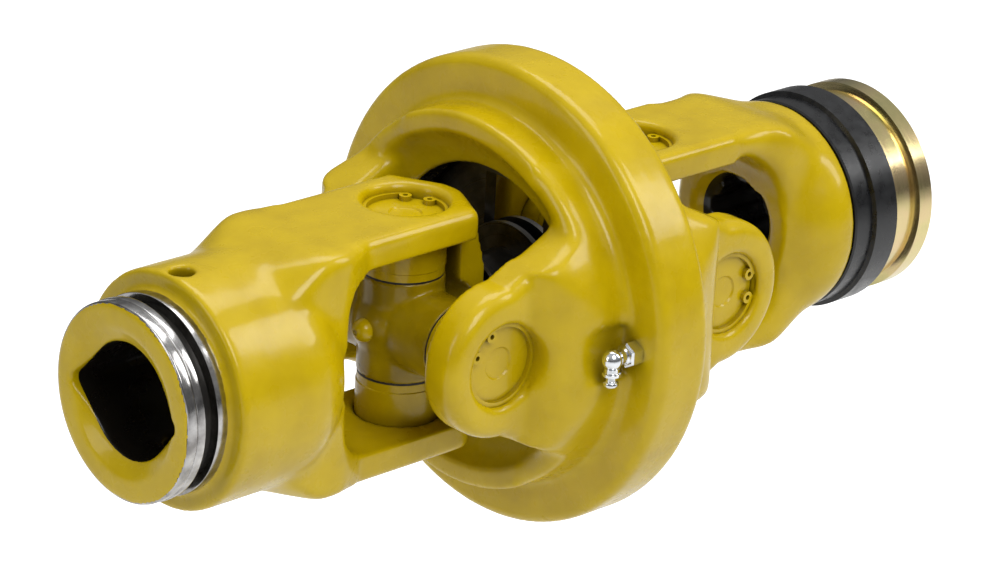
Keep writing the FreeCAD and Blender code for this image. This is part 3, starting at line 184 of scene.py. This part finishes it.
def bore_mask(tree, bores):
    """1 inside the stated bores round the X axis, each (low X, high X, radius), else 0."""
    pair = add(tree, "ShaderNodeSeparateXYZ")
    tree.links.new(turned_place(tree, "X"), pair.inputs["Vector"])

    def step(value, operation, limit):
        node = add(tree, "ShaderNodeMath", operation=operation)
        tree.links.new(value, node.inputs[0])
        node.inputs[1].default_value = limit
        return node.outputs["Value"]

    def joined(first, second, operation):
        node = add(tree, "ShaderNodeMath", operation=operation)
        tree.links.new(first, node.inputs[0])
        tree.links.new(second, node.inputs[1])
        return node.outputs["Value"]

    mask = None
    for low, high, radius in bores:
        after = step(pair.outputs["X"], "GREATER_THAN", low)
        before = step(pair.outputs["X"], "LESS_THAN", high)
        within = step(pair.outputs["Y"], "LESS_THAN", radius)
        inside = joined(joined(after, before, "MULTIPLY"), within, "MULTIPLY")
        mask = inside if mask is None else joined(mask, inside, "MAXIMUM")
    return mask


# Paint

TONE_PLACES = (0.30, 0.52, 0.75)
# Painted shade in hollows: reach, samples and ramp places of the occlusion, then its strength and brown
# colour
HOLLOW_REACH = 20 * MM
HOLLOW_SAMPLES = 8
HOLLOW_PLACES = (0.15, 0.75)
PAINTED_SHADE = 0.85
PAINTED_SHADE_COLOUR = linear(84, 66, 4)
BORE_DARK_COLOUR = linear(19, 16, 12)
GLOSS_PLACES = (0.35, 0.7)
WAVE_STRENGTH = 0.4
WAVE_HEIGHT = 0.9 * MM
PEEL_STRENGTH = 0.24
PEEL_HEIGHT = 0.12 * MM


def yellow_paint(name, tones, bores):
    """Thick mustard gloss enamel on a forging: waves, orange peel, painted shade in hollows and dark bores.
    """
    material, tree, shader = new_material(name)
    place = object_place(tree)
    colour = ramp(tree, noise(tree, place, scale=55, detail=3), TONE_PLACES, tones)
    # Painted shade: hollows found by ambient occlusion are darkened towards brown
    hollow = add(tree, "ShaderNodeAmbientOcclusion", Distance=HOLLOW_REACH)
    hollow.samples = HOLLOW_SAMPLES
    shade = ramp(tree, hollow.outputs["AO"], HOLLOW_PLACES, greys(PAINTED_SHADE, 0.0))
    shaded_colour = blended(tree, shade, colour, PAINTED_SHADE_COLOUR)
    # The stated bores turn dark; in the housing's mouth this is painted shade
    dark_bores = blended(tree, bore_mask(tree, bores), shaded_colour, BORE_DARK_COLOUR)
    tree.links.new(dark_bores, shader.inputs["Base Color"])
    gloss = ramp(tree, noise(tree, place, scale=90, detail=3), GLOSS_PLACES, greys(0.24, 0.36))
    tree.links.new(gloss, shader.inputs["Roughness"])
    shader.inputs["Coat Weight"].default_value = 0.3
    shader.inputs["Coat Roughness"].default_value = 0.11
    shader.inputs["Specular IOR Level"].default_value = 0.18
    waves = noise(tree, place, scale=75, detail=2)
    peel = noise(tree, place, scale=420, detail=2)
    bump(tree, shader, [(waves, WAVE_STRENGTH, WAVE_HEIGHT), (peel, PEEL_STRENGTH, PEEL_HEIGHT)])
    return material


# Metals

METAL_PLACES = (0.3, 0.7)
FINE_SHARE = 0.75
COARSE_SHARE = 1.3
MARK_STRENGTH = 0.3
MARK_DEPTH = 0.03 * MM
GOLD_PLACES = (0.30, 0.46, 0.60, 0.74)
GOLD_TINTS = (linear(184, 180, 126), linear(212, 198, 142), linear(218, 194, 150), linear(192, 192, 142))
GOLD_WAVE_STRENGTH = 0.12
GOLD_WAVE_HEIGHT = 0.2 * MM
GOLD_MARK_STRENGTH = 0.2
GOLD_MARK_DEPTH = 0.02 * MM


def plain_metal(name, low, high, roughness, axis="X", scale=2600, metallic=1.0):
    """Metal with fine turning marks round an axis and a slight change of tone."""
    material, tree, shader = new_material(name)
    marks = noise(tree, turned_place(tree, axis), scale, detail=2)
    tone = noise(tree, object_place(tree), scale=120, detail=4)
    colour = ramp(tree, tone, METAL_PLACES, (low, high))
    tree.links.new(colour, shader.inputs["Base Color"])
    rough = ramp(tree, marks, METAL_PLACES, greys(roughness * FINE_SHARE, roughness * COARSE_SHARE))
    tree.links.new(rough, shader.inputs["Roughness"])
    shader.inputs["Metallic"].default_value = metallic
    bump(tree, shader, [(marks, MARK_STRENGTH, MARK_DEPTH)])
    return material


def gold_zinc():
    """Passivated zinc: pale gold with drifting green and rose tints."""
    material, tree, shader = new_material("gold_zinc")
    place = object_place(tree)
    colour = ramp(tree, noise(tree, place, scale=34, detail=5), GOLD_PLACES, GOLD_TINTS)
    tree.links.new(colour, shader.inputs["Base Color"])
    marks = noise(tree, turned_place(tree, "X"), scale=1900, detail=2)
    rough = ramp(tree, marks, METAL_PLACES, greys(0.16, 0.26))
    tree.links.new(rough, shader.inputs["Roughness"])
    shader.inputs["Metallic"].default_value = 1.0
    waves = noise(tree, place, scale=160, detail=2)
    bump(tree, shader, [
        (waves, GOLD_WAVE_STRENGTH, GOLD_WAVE_HEIGHT),
        (marks, GOLD_MARK_STRENGTH, GOLD_MARK_DEPTH),
    ])
    return material


# Plastic and rubber

SCUFF_TONE_PLACES = (0.45, 0.75)
SCUFF_GLOSS_PLACES = (0.35, 0.75)
GRAIN_STRENGTH = 0.2
GRAIN_HEIGHT = 0.05 * MM
SCUFF_STRENGTH = 0.1
SCUFF_DEPTH = 0.2 * MM
RUBBER_PLACES = (0.3, 0.8)
RUBBER_STRENGTH = 0.2
RUBBER_HEIGHT = 0.06 * MM


def black_plastic():
    """Moulded black ring with a soft sheen and light scuffs."""
    material, tree, shader = new_material("black_moulding")
    place = object_place(tree)
    scuff = noise(tree, place, scale=210, detail=6)
    colour = ramp(tree, scuff, SCUFF_TONE_PLACES, (linear(9, 10, 12), linear(22, 23, 25)))
    tree.links.new(colour, shader.inputs["Base Color"])
    rough = ramp(tree, scuff, SCUFF_GLOSS_PLACES, greys(0.24, 0.42))
    tree.links.new(rough, shader.inputs["Roughness"])
    grain = noise(tree, place, scale=1300, detail=2)
    bump(tree, shader, [(grain, GRAIN_STRENGTH, GRAIN_HEIGHT), (scuff, SCUFF_STRENGTH, SCUFF_DEPTH)])
    return material


def black_rubber():
    """Matt rubber of the caps' seals."""
    material, tree, shader = new_material("seal_rubber")
    tone = noise(tree, object_place(tree), scale=300, detail=4)
    colour = ramp(tree, tone, RUBBER_PLACES, (linear(16, 16, 16), linear(34, 33, 32)))
    tree.links.new(colour, shader.inputs["Base Color"])
    shader.inputs["Roughness"].default_value = 0.62
    bump(tree, shader, [(tone, RUBBER_STRENGTH, RUBBER_HEIGHT)])
    return material


# Materials of the part

# Bores painted dark: (low X, high X, radius); in the housing's mouth this dark is painted shade
BORES = (
    (-205.8 * MM, -134 * MM, 33 * MM),
    (130 * MM, 206.5 * MM, 20 * MM),
    (-19 * MM, 19 * MM, 57.2 * MM),
)
OUTER_TONES = (linear(176, 149, 0), linear(184, 157, 0), linear(190, 163, 2))
# Darker copy of the enamel for the crosses: painted shade
SHADED_TONES = (linear(128, 106, 0), linear(146, 122, 1), linear(160, 136, 3))

paint = yellow_paint("yellow_enamel", OUTER_TONES, BORES)
shaded_paint = yellow_paint("shaded_enamel", SHADED_TONES, BORES)
turned_steel = plain_metal("turned_steel", linear(128, 125, 123), linear(206, 205, 204), roughness=0.15)
bore_dark = plain_metal("oiled_bore", linear(16, 14, 11), linear(34, 30, 23), roughness=0.45, metallic=0.3)
bright_steel = plain_metal("bright_steel", linear(176, 176, 176), linear(210, 210, 208), roughness=0.22)
dark_forging = plain_metal("dark_forging", linear(56, 52, 46), linear(92, 86, 76), roughness=0.42,
                           scale=500, metallic=0.85)
oiled_steel = plain_metal("oiled_steel", linear(70, 68, 64), linear(104, 101, 96), roughness=0.34)
zinc = plain_metal("bright_zinc", linear(206, 210, 214), linear(236, 238, 240), roughness=0.14,
                   axis="Z", scale=900)
gold = gold_zinc()
moulding = black_plastic()
rubber = black_rubber()

SLOT_LOOKS = {
    "yellow_paint": paint,
    "bright_steel": bright_steel,
    "dark_forging": dark_forging,
    "oiled_steel": oiled_steel,
    "black_rubber": rubber,
    "black_plastic": moulding,
    "gold_zinc": gold,
    "zinc": zinc,
}
for entry in frame["record"]["subparts"]:
    node = nodes[entry["node"]]
    look = SLOT_LOOKS[entry["material_slot"]]
    for slot in node.material_slots:
        slot.link = "OBJECT"
        slot.material = look


# Piece building

WELD = 0.001 * MM
SMOOTH_FACTOR = 0.5
SHARP_ANGLE = math.radians(28)
CORNER_SHARE = 0.45


def link(name, mesh, look, body):
    """Piece of one material that rides on a body."""
    piece = bpy.data.objects.new(name, mesh)
    bpy.context.scene.collection.objects.link(piece)
    mesh.materials.clear()
    mesh.materials.append(look)
    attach(piece, body)
    return piece


def applied(piece):
    """Bake the piece's modifiers into its mesh."""
    depsgraph = bpy.context.evaluated_depsgraph_get()
    baked = bpy.data.meshes.new_from_object(piece.evaluated_get(depsgraph))
    piece.modifiers.clear()
    piece.data = baked


def radius_of(point):
    """Distance from the joint's long axis."""
    return math.hypot(point.y, point.z)


def band(value, low, high, soft):
    """1 between low and high, falling to 0 within a soft margin outside them."""
    rise = (value - low) / soft + 1
    fall = (high - value) / soft + 1
    return max(0.0, min(1.0, rise, fall))


def everywhere(point):
    return 1.0


def soft_forging(name, stands_for, body, voxel, rounds, zones=(), balls=(), collars=()):
    """Forging made of CAD solids, balls and collars melted into one skin; zones are smoothed more."""
    shape = bmesh.new()
    for node in stands_for:
        shape.from_mesh(nodes[node].data)
    for centre, radius in balls:
        bmesh.ops.create_icosphere(shape, subdivisions=4, radius=radius, matrix=Matrix.Translation(centre))
    for centre, direction, radius, length in collars:
        place = Matrix.Translation(centre) @ Vector(direction).to_track_quat("Z", "Y").to_matrix().to_4x4()
        bmesh.ops.create_cone(shape, cap_ends=True, segments=72, radius1=radius, radius2=radius,
                              depth=length, matrix=place)
    bmesh.ops.remove_doubles(shape, verts=shape.verts, dist=WELD)
    mesh = bpy.data.meshes.new(name)
    shape.to_mesh(mesh)
    shape.free()
    piece = link(name, mesh, paint, body)
    remesh = piece.modifiers.new("skin", "REMESH")
    remesh.mode = "VOXEL"
    remesh.voxel_size = voxel
    applied(piece)
    for count, (weigh, passes) in enumerate([(everywhere, rounds), *zones]):
        group = piece.vertex_groups.new(name=f"zone_{count}")
        for vertex in piece.data.vertices:
            weight = weigh(vertex.co)
            if weight > 0:
                group.add([vertex.index], weight, "REPLACE")
        smooth = piece.modifiers.new(f"die_radii_{count}", "SMOOTH")
        smooth.factor = SMOOTH_FACTOR
        smooth.iterations = passes
        smooth.vertex_group = group.name
    applied(piece)
    piece.data.materials.clear()
    piece.data.materials.append(paint)
    piece.data.shade_smooth()
    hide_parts(*stands_for)
    return piece


def recoloured(piece, look, inside):
    """Give the faces whose centres pass the test another material."""
    piece.data.materials.append(look)
    index = len(piece.data.materials) - 1
    for face in piece.data.polygons:
        if inside(face.center):
            face.material_index = index


def without(piece, gone):
    """Remove the faces whose centres pass the test."""
    shape = bmesh.new()
    shape.from_mesh(piece.data)
    doomed = [face for face in shape.faces if gone(face.calc_center_median())]
    bmesh.ops.delete(shape, geom=doomed, context="FACES")
    shape.to_mesh(piece.data)
    shape.free()


def turned(name, outline, look, body, steps=160, closed=True, place=Matrix.Identity(4)):
    """Lathe an outline of (along X, radius) points about the X axis, then put it in its place."""
    shape = bmesh.new()
    rings = []
    for step in range(steps):
        angle = 2 * math.pi * step / steps
        rings.append([
            shape.verts.new((along, -radius * math.sin(angle), radius * math.cos(angle)))
            for along, radius in outline
        ])
    count = len(outline)
    last = count if closed else count - 1
    for step in range(steps):
        ring = rings[step]
        following = rings[(step + 1) % steps]
        for index in range(last):
            after = (index + 1) % count
            shape.faces.new((ring[index], ring[after], following[after], following[index]))
    bmesh.ops.recalc_face_normals(shape, faces=shape.faces)
    shape.transform(place)
    mesh = bpy.data.meshes.new(name)
    shape.to_mesh(mesh)
    shape.free()
    piece = link(name, mesh, look, body)
    mesh.shade_smooth()
    mesh.set_sharp_from_angle(angle=SHARP_ANGLE)
    return piece


def softened(outline, size, steps=3):
    """Round every corner of an outline by a small radius."""
    result = []
    count = len(outline)
    for index, point in enumerate(outline):
        corner = Vector(point)
        before = Vector(outline[index - 1]) - corner
        after = Vector(outline[(index + 1) % count]) - corner
        reach = min(size, before.length * CORNER_SHARE, after.length * CORNER_SHARE)
        start = corner + before.normalized() * reach
        finish = corner + after.normalized() * reach
        for step in range(steps + 1):
            share = step / steps
            bend = start.lerp(corner, share).lerp(corner.lerp(finish, share), share)
            result.append((bend.x, bend.y))
    return result


# Zones of the forgings that are smoothed more

SHOULDER_SOFT = 6 * MM
ROUND_SOFT = 4 * MM
OUTSIDE = 100 * MM
TUBE_SHOULDER_PASSES = 55
TRACTOR_SHOULDER_PASSES = 130
EAR_TIP_PASSES = 14
EAR_ROOT_PASSES = 60


def tube_shoulder(point):
    """Where the tube yoke's ears run into its hub."""
    along = band(-point.x, low=118 * MM, high=166 * MM, soft=SHOULDER_SOFT)
    return along * band(radius_of(point), low=38 * MM, high=OUTSIDE, soft=ROUND_SOFT)


def tractor_shoulder(point):
    """Where the splined yoke's ears run into its hub."""
    along = band(point.x, low=106 * MM, high=157 * MM, soft=SHOULDER_SOFT)
    return along * band(radius_of(point), low=36 * MM, high=OUTSIDE, soft=ROUND_SOFT)


def ear_tip(point):
    """The blunt points of the yokes' ears."""
    along = band(abs(point.x), low=30 * MM, high=46 * MM, soft=4 * MM)
    return along * band(abs(point.z), low=37 * MM, high=60 * MM, soft=3 * MM)


def ear_root(point):
    """Where the housing's ears grow out of its boss."""
    along = band(abs(point.x), low=18 * MM, high=46 * MM, soft=5 * MM)
    beside = band(abs(point.y), low=42 * MM, high=84 * MM, soft=4 * MM)
    return along * beside * band(radius_of(point), low=60 * MM, high=90 * MM, soft=3 * MM)


# Yokes and housing

YOKE_VOXEL = 1.3 * MM
YOKE_ROUNDS = 4
HOUSING_VOXEL = 1.35 * MM
HOUSING_ROUNDS = 2
LOBE_BEAD = 3.2 * MM
LOBE_REACH = 31.2 * MM
LOBE_PLACES = (-128 * MM, -131 * MM, -134 * MM)

# The profile bore's lobes end under the skin of the crotch, so beads close them there
lobe_ends = [
    (Vector((along, side * LOBE_REACH, 0)), LOBE_BEAD) for along in LOBE_PLACES for side in (-1, 1)
]
tube_forging = soft_forging(
    "tube_yoke_forging", ["tube_yoke"], "tube_yoke", YOKE_VOXEL, YOKE_ROUNDS,
    zones=[(tube_shoulder, TUBE_SHOULDER_PASSES), (ear_tip, EAR_TIP_PASSES)], balls=lobe_ends)
soft_forging(
    "tractor_yoke_forging", ["tractor_yoke"], "tractor_yoke", YOKE_VOXEL, YOKE_ROUNDS,
    zones=[(tractor_shoulder, TRACTOR_SHOULDER_PASSES), (ear_tip, EAR_TIP_PASSES)])
housing_forging = soft_forging(
    "housing_forging", ["housing_half_tube", "housing_half_tractor"], "housing", HOUSING_VOXEL,
    HOUSING_ROUNDS, zones=[(ear_root, EAR_ROOT_PASSES)])


# Crosses, with a swollen middle and a collar over each seal

CROSS_VOXEL = 0.9 * MM
CROSS_ROUNDS = 8
CROSS_BALL = 19.4 * MM
BULGE_SHIFT = 1.0 * MM
COLLAR_RADIUS = 17.5 * MM
SHORT_COLLAR = 21.9 * MM
LONG_COLLAR = 33.4 * MM

for side, prefix in ((-1, "tube"), (1, "tractor")):
    middle = Vector((side * CROSS_X, 0, 0))
    bulge = middle + Vector((side * BULGE_SHIFT, 0, 0))
    collars = [
        (middle, (0, 0, 1), COLLAR_RADIUS, 2 * SHORT_COLLAR),
        (middle, (0, 1, 0), COLLAR_RADIUS, 2 * LONG_COLLAR),
    ]
    cross_piece = soft_forging(
        f"{prefix}_cross_forging", [f"{prefix}_cross"], f"{prefix}_cross", CROSS_VOXEL, CROSS_ROUNDS,
        balls=[(bulge, CROSS_BALL)], collars=collars)
    # The crosses wear the darker enamel copy, which is painted shade
    cross_piece.data.materials[0] = shaded_paint


# Inner cavity of the housing: the skin's coarse faces go and a lathed cavity takes their place

CAVITY_HALF = 6.0 * MM
CAVITY_MOUTH = 56.8 * MM
CAVITY_RADIUS = 94.0 * MM
COARSE_HALF = 7.2 * MM
COARSE_INNER = 58 * MM
COARSE_OUTER = 96.5 * MM


def in_cavity(centre):
    return abs(centre.x) < COARSE_HALF and COARSE_INNER < radius_of(centre) < COARSE_OUTER


without(housing_forging, in_cavity)
cavity = [
    (-CAVITY_HALF, CAVITY_MOUTH), (-CAVITY_HALF, CAVITY_RADIUS),
    (CAVITY_HALF, CAVITY_RADIUS), (CAVITY_HALF, CAVITY_MOUTH),
]
cavity_piece = turned("housing_cavity", cavity, bore_dark, "housing", closed=False)


# Collar spring

SPRING_RADIUS = 36.8 * MM
WIRE = 1.1 * MM
TURNS = 3
COIL_STEPS = 64
WIRE_STEPS = 12

spring_shape = bmesh.new()
spring_rings = []
for step in range(TURNS * COIL_STEPS + 1):
    share = step / (TURNS * COIL_STEPS)
    turn = 2 * math.pi * TURNS * share
    along = SPRING_START + WIRE + (SPRING_END - SPRING_START - 2 * WIRE) * share
    ring = []
    for corner in range(WIRE_STEPS):
        angle = 2 * math.pi * corner / WIRE_STEPS
        reach = SPRING_RADIUS + WIRE * math.cos(angle)
        ring.append(spring_shape.verts.new(
            (along + WIRE * math.sin(angle), reach * math.cos(turn), reach * math.sin(turn))))
    spring_rings.append(ring)
for ring, following in zip(spring_rings, spring_rings[1:]):
    for corner in range(WIRE_STEPS):
        after = (corner + 1) % WIRE_STEPS
        spring_shape.faces.new((ring[corner], ring[after], following[after], following[corner]))
spring_shape.faces.new(spring_rings[0])
spring_shape.faces.new(spring_rings[-1])
bmesh.ops.recalc_face_normals(spring_shape, faces=spring_shape.faces)
spring_mesh = bpy.data.meshes.new("collar_spring_wire")
spring_shape.to_mesh(spring_mesh)
spring_shape.free()
spring_piece = link("collar_spring_wire", spring_mesh, oiled_steel, "tractor_yoke")
spring_mesh.shade_smooth()
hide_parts("collar_spring")
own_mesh(spring_piece)


# Machined nose of the tube yoke: the painted skin is cut away and a lathed nose takes its place

NOSE_BACK = 1.5 * MM
NOSE_INNER = GROOVE_RADIUS - 3 * MM
NOSE_SKIN = 0.14 * MM
SCORE_START = 204.6 * MM
SCORE_MIDDLE = SCORE_START + 0.3 * MM
SCORE_END = SCORE_START + 0.6 * MM
SCORE_RADIUS = NOSE_RADIUS - 0.5 * MM
RIM_RADIUS = NOSE_RADIUS - 0.1 * MM
RIM_EDGE = NOSE_END - 1.0 * MM
FACE_EDGE = NOSE_END - 0.6 * MM
FACE_RADIUS = NOSE_RADIUS - 0.9 * MM
NOSE_CORNER = 0.35 * MM
DARK_DEPTH = 0.6 * MM
CUT_START = HUB_SHOULDER + 2.6 * MM
CUT_END = 209.3 * MM
CUT_RADIUS = 34 * MM


def under_nose(centre):
    return -CUT_END < centre.x < -CUT_START and radius_of(centre) > CUT_RADIUS


def in_groove(centre):
    return -GROOVE_END < centre.x < -GROOVE_START and radius_of(centre) < NOSE_RADIUS - DARK_DEPTH


without(tube_forging, under_nose)
nose = [
    (-HUB_SHOULDER + NOSE_BACK, NOSE_INNER), (-HUB_SHOULDER + NOSE_BACK, NOSE_RADIUS + NOSE_SKIN),
    (-GROOVE_START, NOSE_RADIUS + NOSE_SKIN), (-GROOVE_START, GROOVE_RADIUS + NOSE_SKIN),
    (-GROOVE_END, GROOVE_RADIUS + NOSE_SKIN), (-GROOVE_END, NOSE_RADIUS + NOSE_SKIN),
    (-SCORE_START, NOSE_RADIUS + NOSE_SKIN), (-SCORE_MIDDLE, SCORE_RADIUS), (-SCORE_END, RIM_RADIUS),
    (-RIM_EDGE, RIM_RADIUS), (-FACE_EDGE, FACE_RADIUS), (-FACE_EDGE, NOSE_INNER),
]
nose_piece = turned("tube_nose", softened(nose, NOSE_CORNER), turned_steel, "tube_yoke")
recoloured(nose_piece, bore_dark, in_groove)


# Elbow grease nipple on the flange: a hexagon, a neck that ends in a ball, and a nozzle

AXLE = 0.02 * MM
HEX_RADIUS = 5.4 * MM
HEX_END = FLANGE_FACE + 6 * MM
HEX_CHAMFER = 0.7 * MM
HEX_DROP = 1.0 * MM
HEX_SIDES = 6
NECK_START = HEX_END - 0.1 * MM
NECK_SHOULDER = HEX_END + 0.8 * MM
NECK_WAIST = HEX_END + 1.3 * MM
NECK_RADIUS = 3.7 * MM
WAIST_RADIUS = 3.0 * MM
ELBOW_X = FLANGE_FACE + 13 * MM
ELBOW_RADIUS = 4.4 * MM
ELBOW_SEAT = ELBOW_X - 3.4 * MM
NIPPLE_STEPS = 48
NOZZLE_CORNER = 0.2 * MM


def ball_outline(centre, radius, start, finish, steps=14):
    """Points of a circle's arc from one angle to the other, in degrees from the far pole."""
    points = []
    for step in range(steps + 1):
        angle = math.radians(start + (finish - start) * step / steps)
        points.append((centre + radius * math.cos(angle), radius * math.sin(angle)))
    return points


hexagon = [
    (-FLANGE_FACE, AXLE), (-FLANGE_FACE, HEX_RADIUS), (HEX_CHAMFER - HEX_END, HEX_RADIUS),
    (-HEX_END, HEX_RADIUS - HEX_DROP), (-HEX_END, AXLE),
]
neck = [
    (-NECK_START, AXLE), (-NECK_START, NECK_RADIUS), (-NECK_SHOULDER, NECK_RADIUS),
    (-NECK_WAIST, WAIST_RADIUS), (-ELBOW_SEAT, WAIST_RADIUS),
] + ball_outline(-ELBOW_X, ELBOW_RADIUS, start=44, finish=178)
# Nozzle: (distance from the elbow's middle, radius)
nozzle = [
    (3.4 * MM, AXLE), (3.4 * MM, 3.1 * MM), (5.2 * MM, 3.1 * MM), (5.5 * MM, 3.9 * MM), (6.7 * MM, 3.9 * MM),
    (7.1 * MM, 2.6 * MM), (8.3 * MM, 2.1 * MM), (8.9 * MM, 2.2 * MM), (9.5 * MM, 3.1 * MM),
    (10.4 * MM, 3.3 * MM), (11.2 * MM, 2.9 * MM), (12.2 * MM, 1.5 * MM), (12.2 * MM, AXLE),
]
nipple_place = Matrix.Translation((0, NIPPLE_Y, NIPPLE_Z))
nozzle_place = Matrix.Translation((-ELBOW_X, NIPPLE_Y, NIPPLE_Z)) @ Matrix.Rotation(math.pi / 2, 4, "Y")
hexagon_piece = turned("nipple_hexagon", hexagon, zinc, "housing", steps=HEX_SIDES, place=nipple_place)
elbow_piece = turned("nipple_elbow", neck, zinc, "housing", steps=NIPPLE_STEPS, place=nipple_place)
nozzle_piece = turned("nipple_nozzle", softened(nozzle, NOZZLE_CORNER), zinc, "housing",
                      steps=NIPPLE_STEPS, place=nozzle_place)
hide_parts("housing_nipple")


# Floor, below the lowest point that the part reaches in its poses

FLOOR_DROP = 135 * MM
FLOOR_REACH = 6.0
FLOOR_GLOW = 0.5

floor_z = cad_box[0][2] - FLOOR_DROP
floor_mesh = bpy.data.meshes.new("floor")
floor_mesh.from_pydata(
    [(-FLOOR_REACH, -FLOOR_REACH, floor_z), (FLOOR_REACH, -FLOOR_REACH, floor_z),
     (FLOOR_REACH, FLOOR_REACH, floor_z), (-FLOOR_REACH, FLOOR_REACH, floor_z)], [], [(0, 1, 2, 3)])
floor = bpy.data.objects.new("floor", floor_mesh)
bpy.context.scene.collection.objects.link(floor)
floor_look, floor_tree, floor_shader = new_material("pale_floor")
floor_shader.inputs["Base Color"].default_value = grey(0.9)
floor_shader.inputs["Roughness"].default_value = 0.9
floor_shader.inputs["Emission Color"].default_value = grey(1.0)
floor_seen = add(floor_tree, "ShaderNodeLightPath").outputs["Is Camera Ray"]
floor_glow = add(floor_tree, "ShaderNodeMath", operation="MULTIPLY")
floor_glow.inputs[1].default_value = FLOOR_GLOW
floor_tree.links.new(floor_seen, floor_glow.inputs[0])
floor_tree.links.new(floor_glow.outputs["Value"], floor_shader.inputs["Emission Strength"])
floor_mesh.materials.append(floor_look)


# Lamps

def soft_lamp(name, place, aim, width, height, watts):
    """Rectangular lamp aimed at a point."""
    lamp = bpy.data.lights.new(name, "AREA")
    lamp.shape = "RECTANGLE"
    lamp.size = width
    lamp.size_y = height
    lamp.energy = watts
    holder = bpy.data.objects.new(name, lamp)
    bpy.context.scene.collection.objects.link(holder)
    holder.location = place
    holder.rotation_euler = (Vector(aim) - Vector(place)).to_track_quat("-Z", "Y").to_euler()


soft_lamp("key_light", place=(-0.35, -0.95, 1.05), aim=(0, 0, 0), width=0.55, height=0.8, watts=10.5)
soft_lamp("top_light", place=(0.35, 0.25, 1.3), aim=(0, 0, 0), width=1.0, height=0.7, watts=9)
soft_lamp("left_light", place=(-1.5, 0.3, 0.55), aim=(-0.05, 0, 0), width=0.5, height=1.0, watts=5)
soft_lamp("right_light", place=(1.05, -0.95, 1.05), aim=(0.1, 0, 0), width=0.5, height=0.9, watts=10)


# World: white where it is seen, a grey room that brightens upwards where it is reflected

ROOM_HEIGHTS = (0.0, 0.12, 0.42, 0.75)
ROOM_GREYS = (0.10, 0.16, 0.30, 0.55)

world = bpy.data.worlds.new("studio")
bpy.context.scene.world = world
world.use_nodes = True
world_tree = world.node_tree
background = world_tree.nodes["Background"]
rays = add(world_tree, "ShaderNodeLightPath")
seen = add(world_tree, "ShaderNodeMath", operation="MAXIMUM")
world_tree.links.new(rays.outputs["Is Camera Ray"], seen.inputs[0])
world_tree.links.new(rays.outputs["Is Transmission Ray"], seen.inputs[1])
sky = add(world_tree, "ShaderNodeSeparateXYZ")
world_tree.links.new(add(world_tree, "ShaderNodeTexCoord").outputs["Generated"], sky.inputs["Vector"])
room = ramp(world_tree, sky.outputs["Z"], ROOM_HEIGHTS, greys(*ROOM_GREYS))
shown = blended(world_tree, seen.outputs["Value"], room, grey(1.0))
world_tree.links.new(shown, background.inputs["Color"])


# Camera, fitted to the photograph

CAMERA_PLACE = Vector((-1.1839, -1.1953, 0.6685))
CAMERA_RIGHT = Vector((0.72374, -0.68816, 0.05127))
CAMERA_UP = Vector((0.22026, 0.30078, 0.92791))
FOCAL_PIXELS = 4343.3
SHIFT_X_PIXELS = -15.2
SHIFT_Y_PIXELS = 2.9
PHOTO_WIDTH = 1000
SENSOR = 36.0
CLIP_END = 20

camera = bpy.data.cameras.new("camera")
camera.sensor_width = SENSOR
camera.lens = FOCAL_PIXELS / PHOTO_WIDTH * SENSOR
camera.shift_x = SHIFT_X_PIXELS / PHOTO_WIDTH
camera.shift_y = SHIFT_Y_PIXELS / PHOTO_WIDTH
camera.clip_end = CLIP_END
camera_holder = bpy.data.objects.new("camera", camera)
bpy.context.scene.collection.objects.link(camera_holder)
turn = Matrix((CAMERA_RIGHT, CAMERA_UP, CAMERA_RIGHT.cross(CAMERA_UP))).transposed()
camera_holder.matrix_world = Matrix.Translation(CAMERA_PLACE) @ turn.to_4x4()
bpy.context.scene.camera = camera_holder

bpy.context.scene.view_settings.view_transform = "Standard"
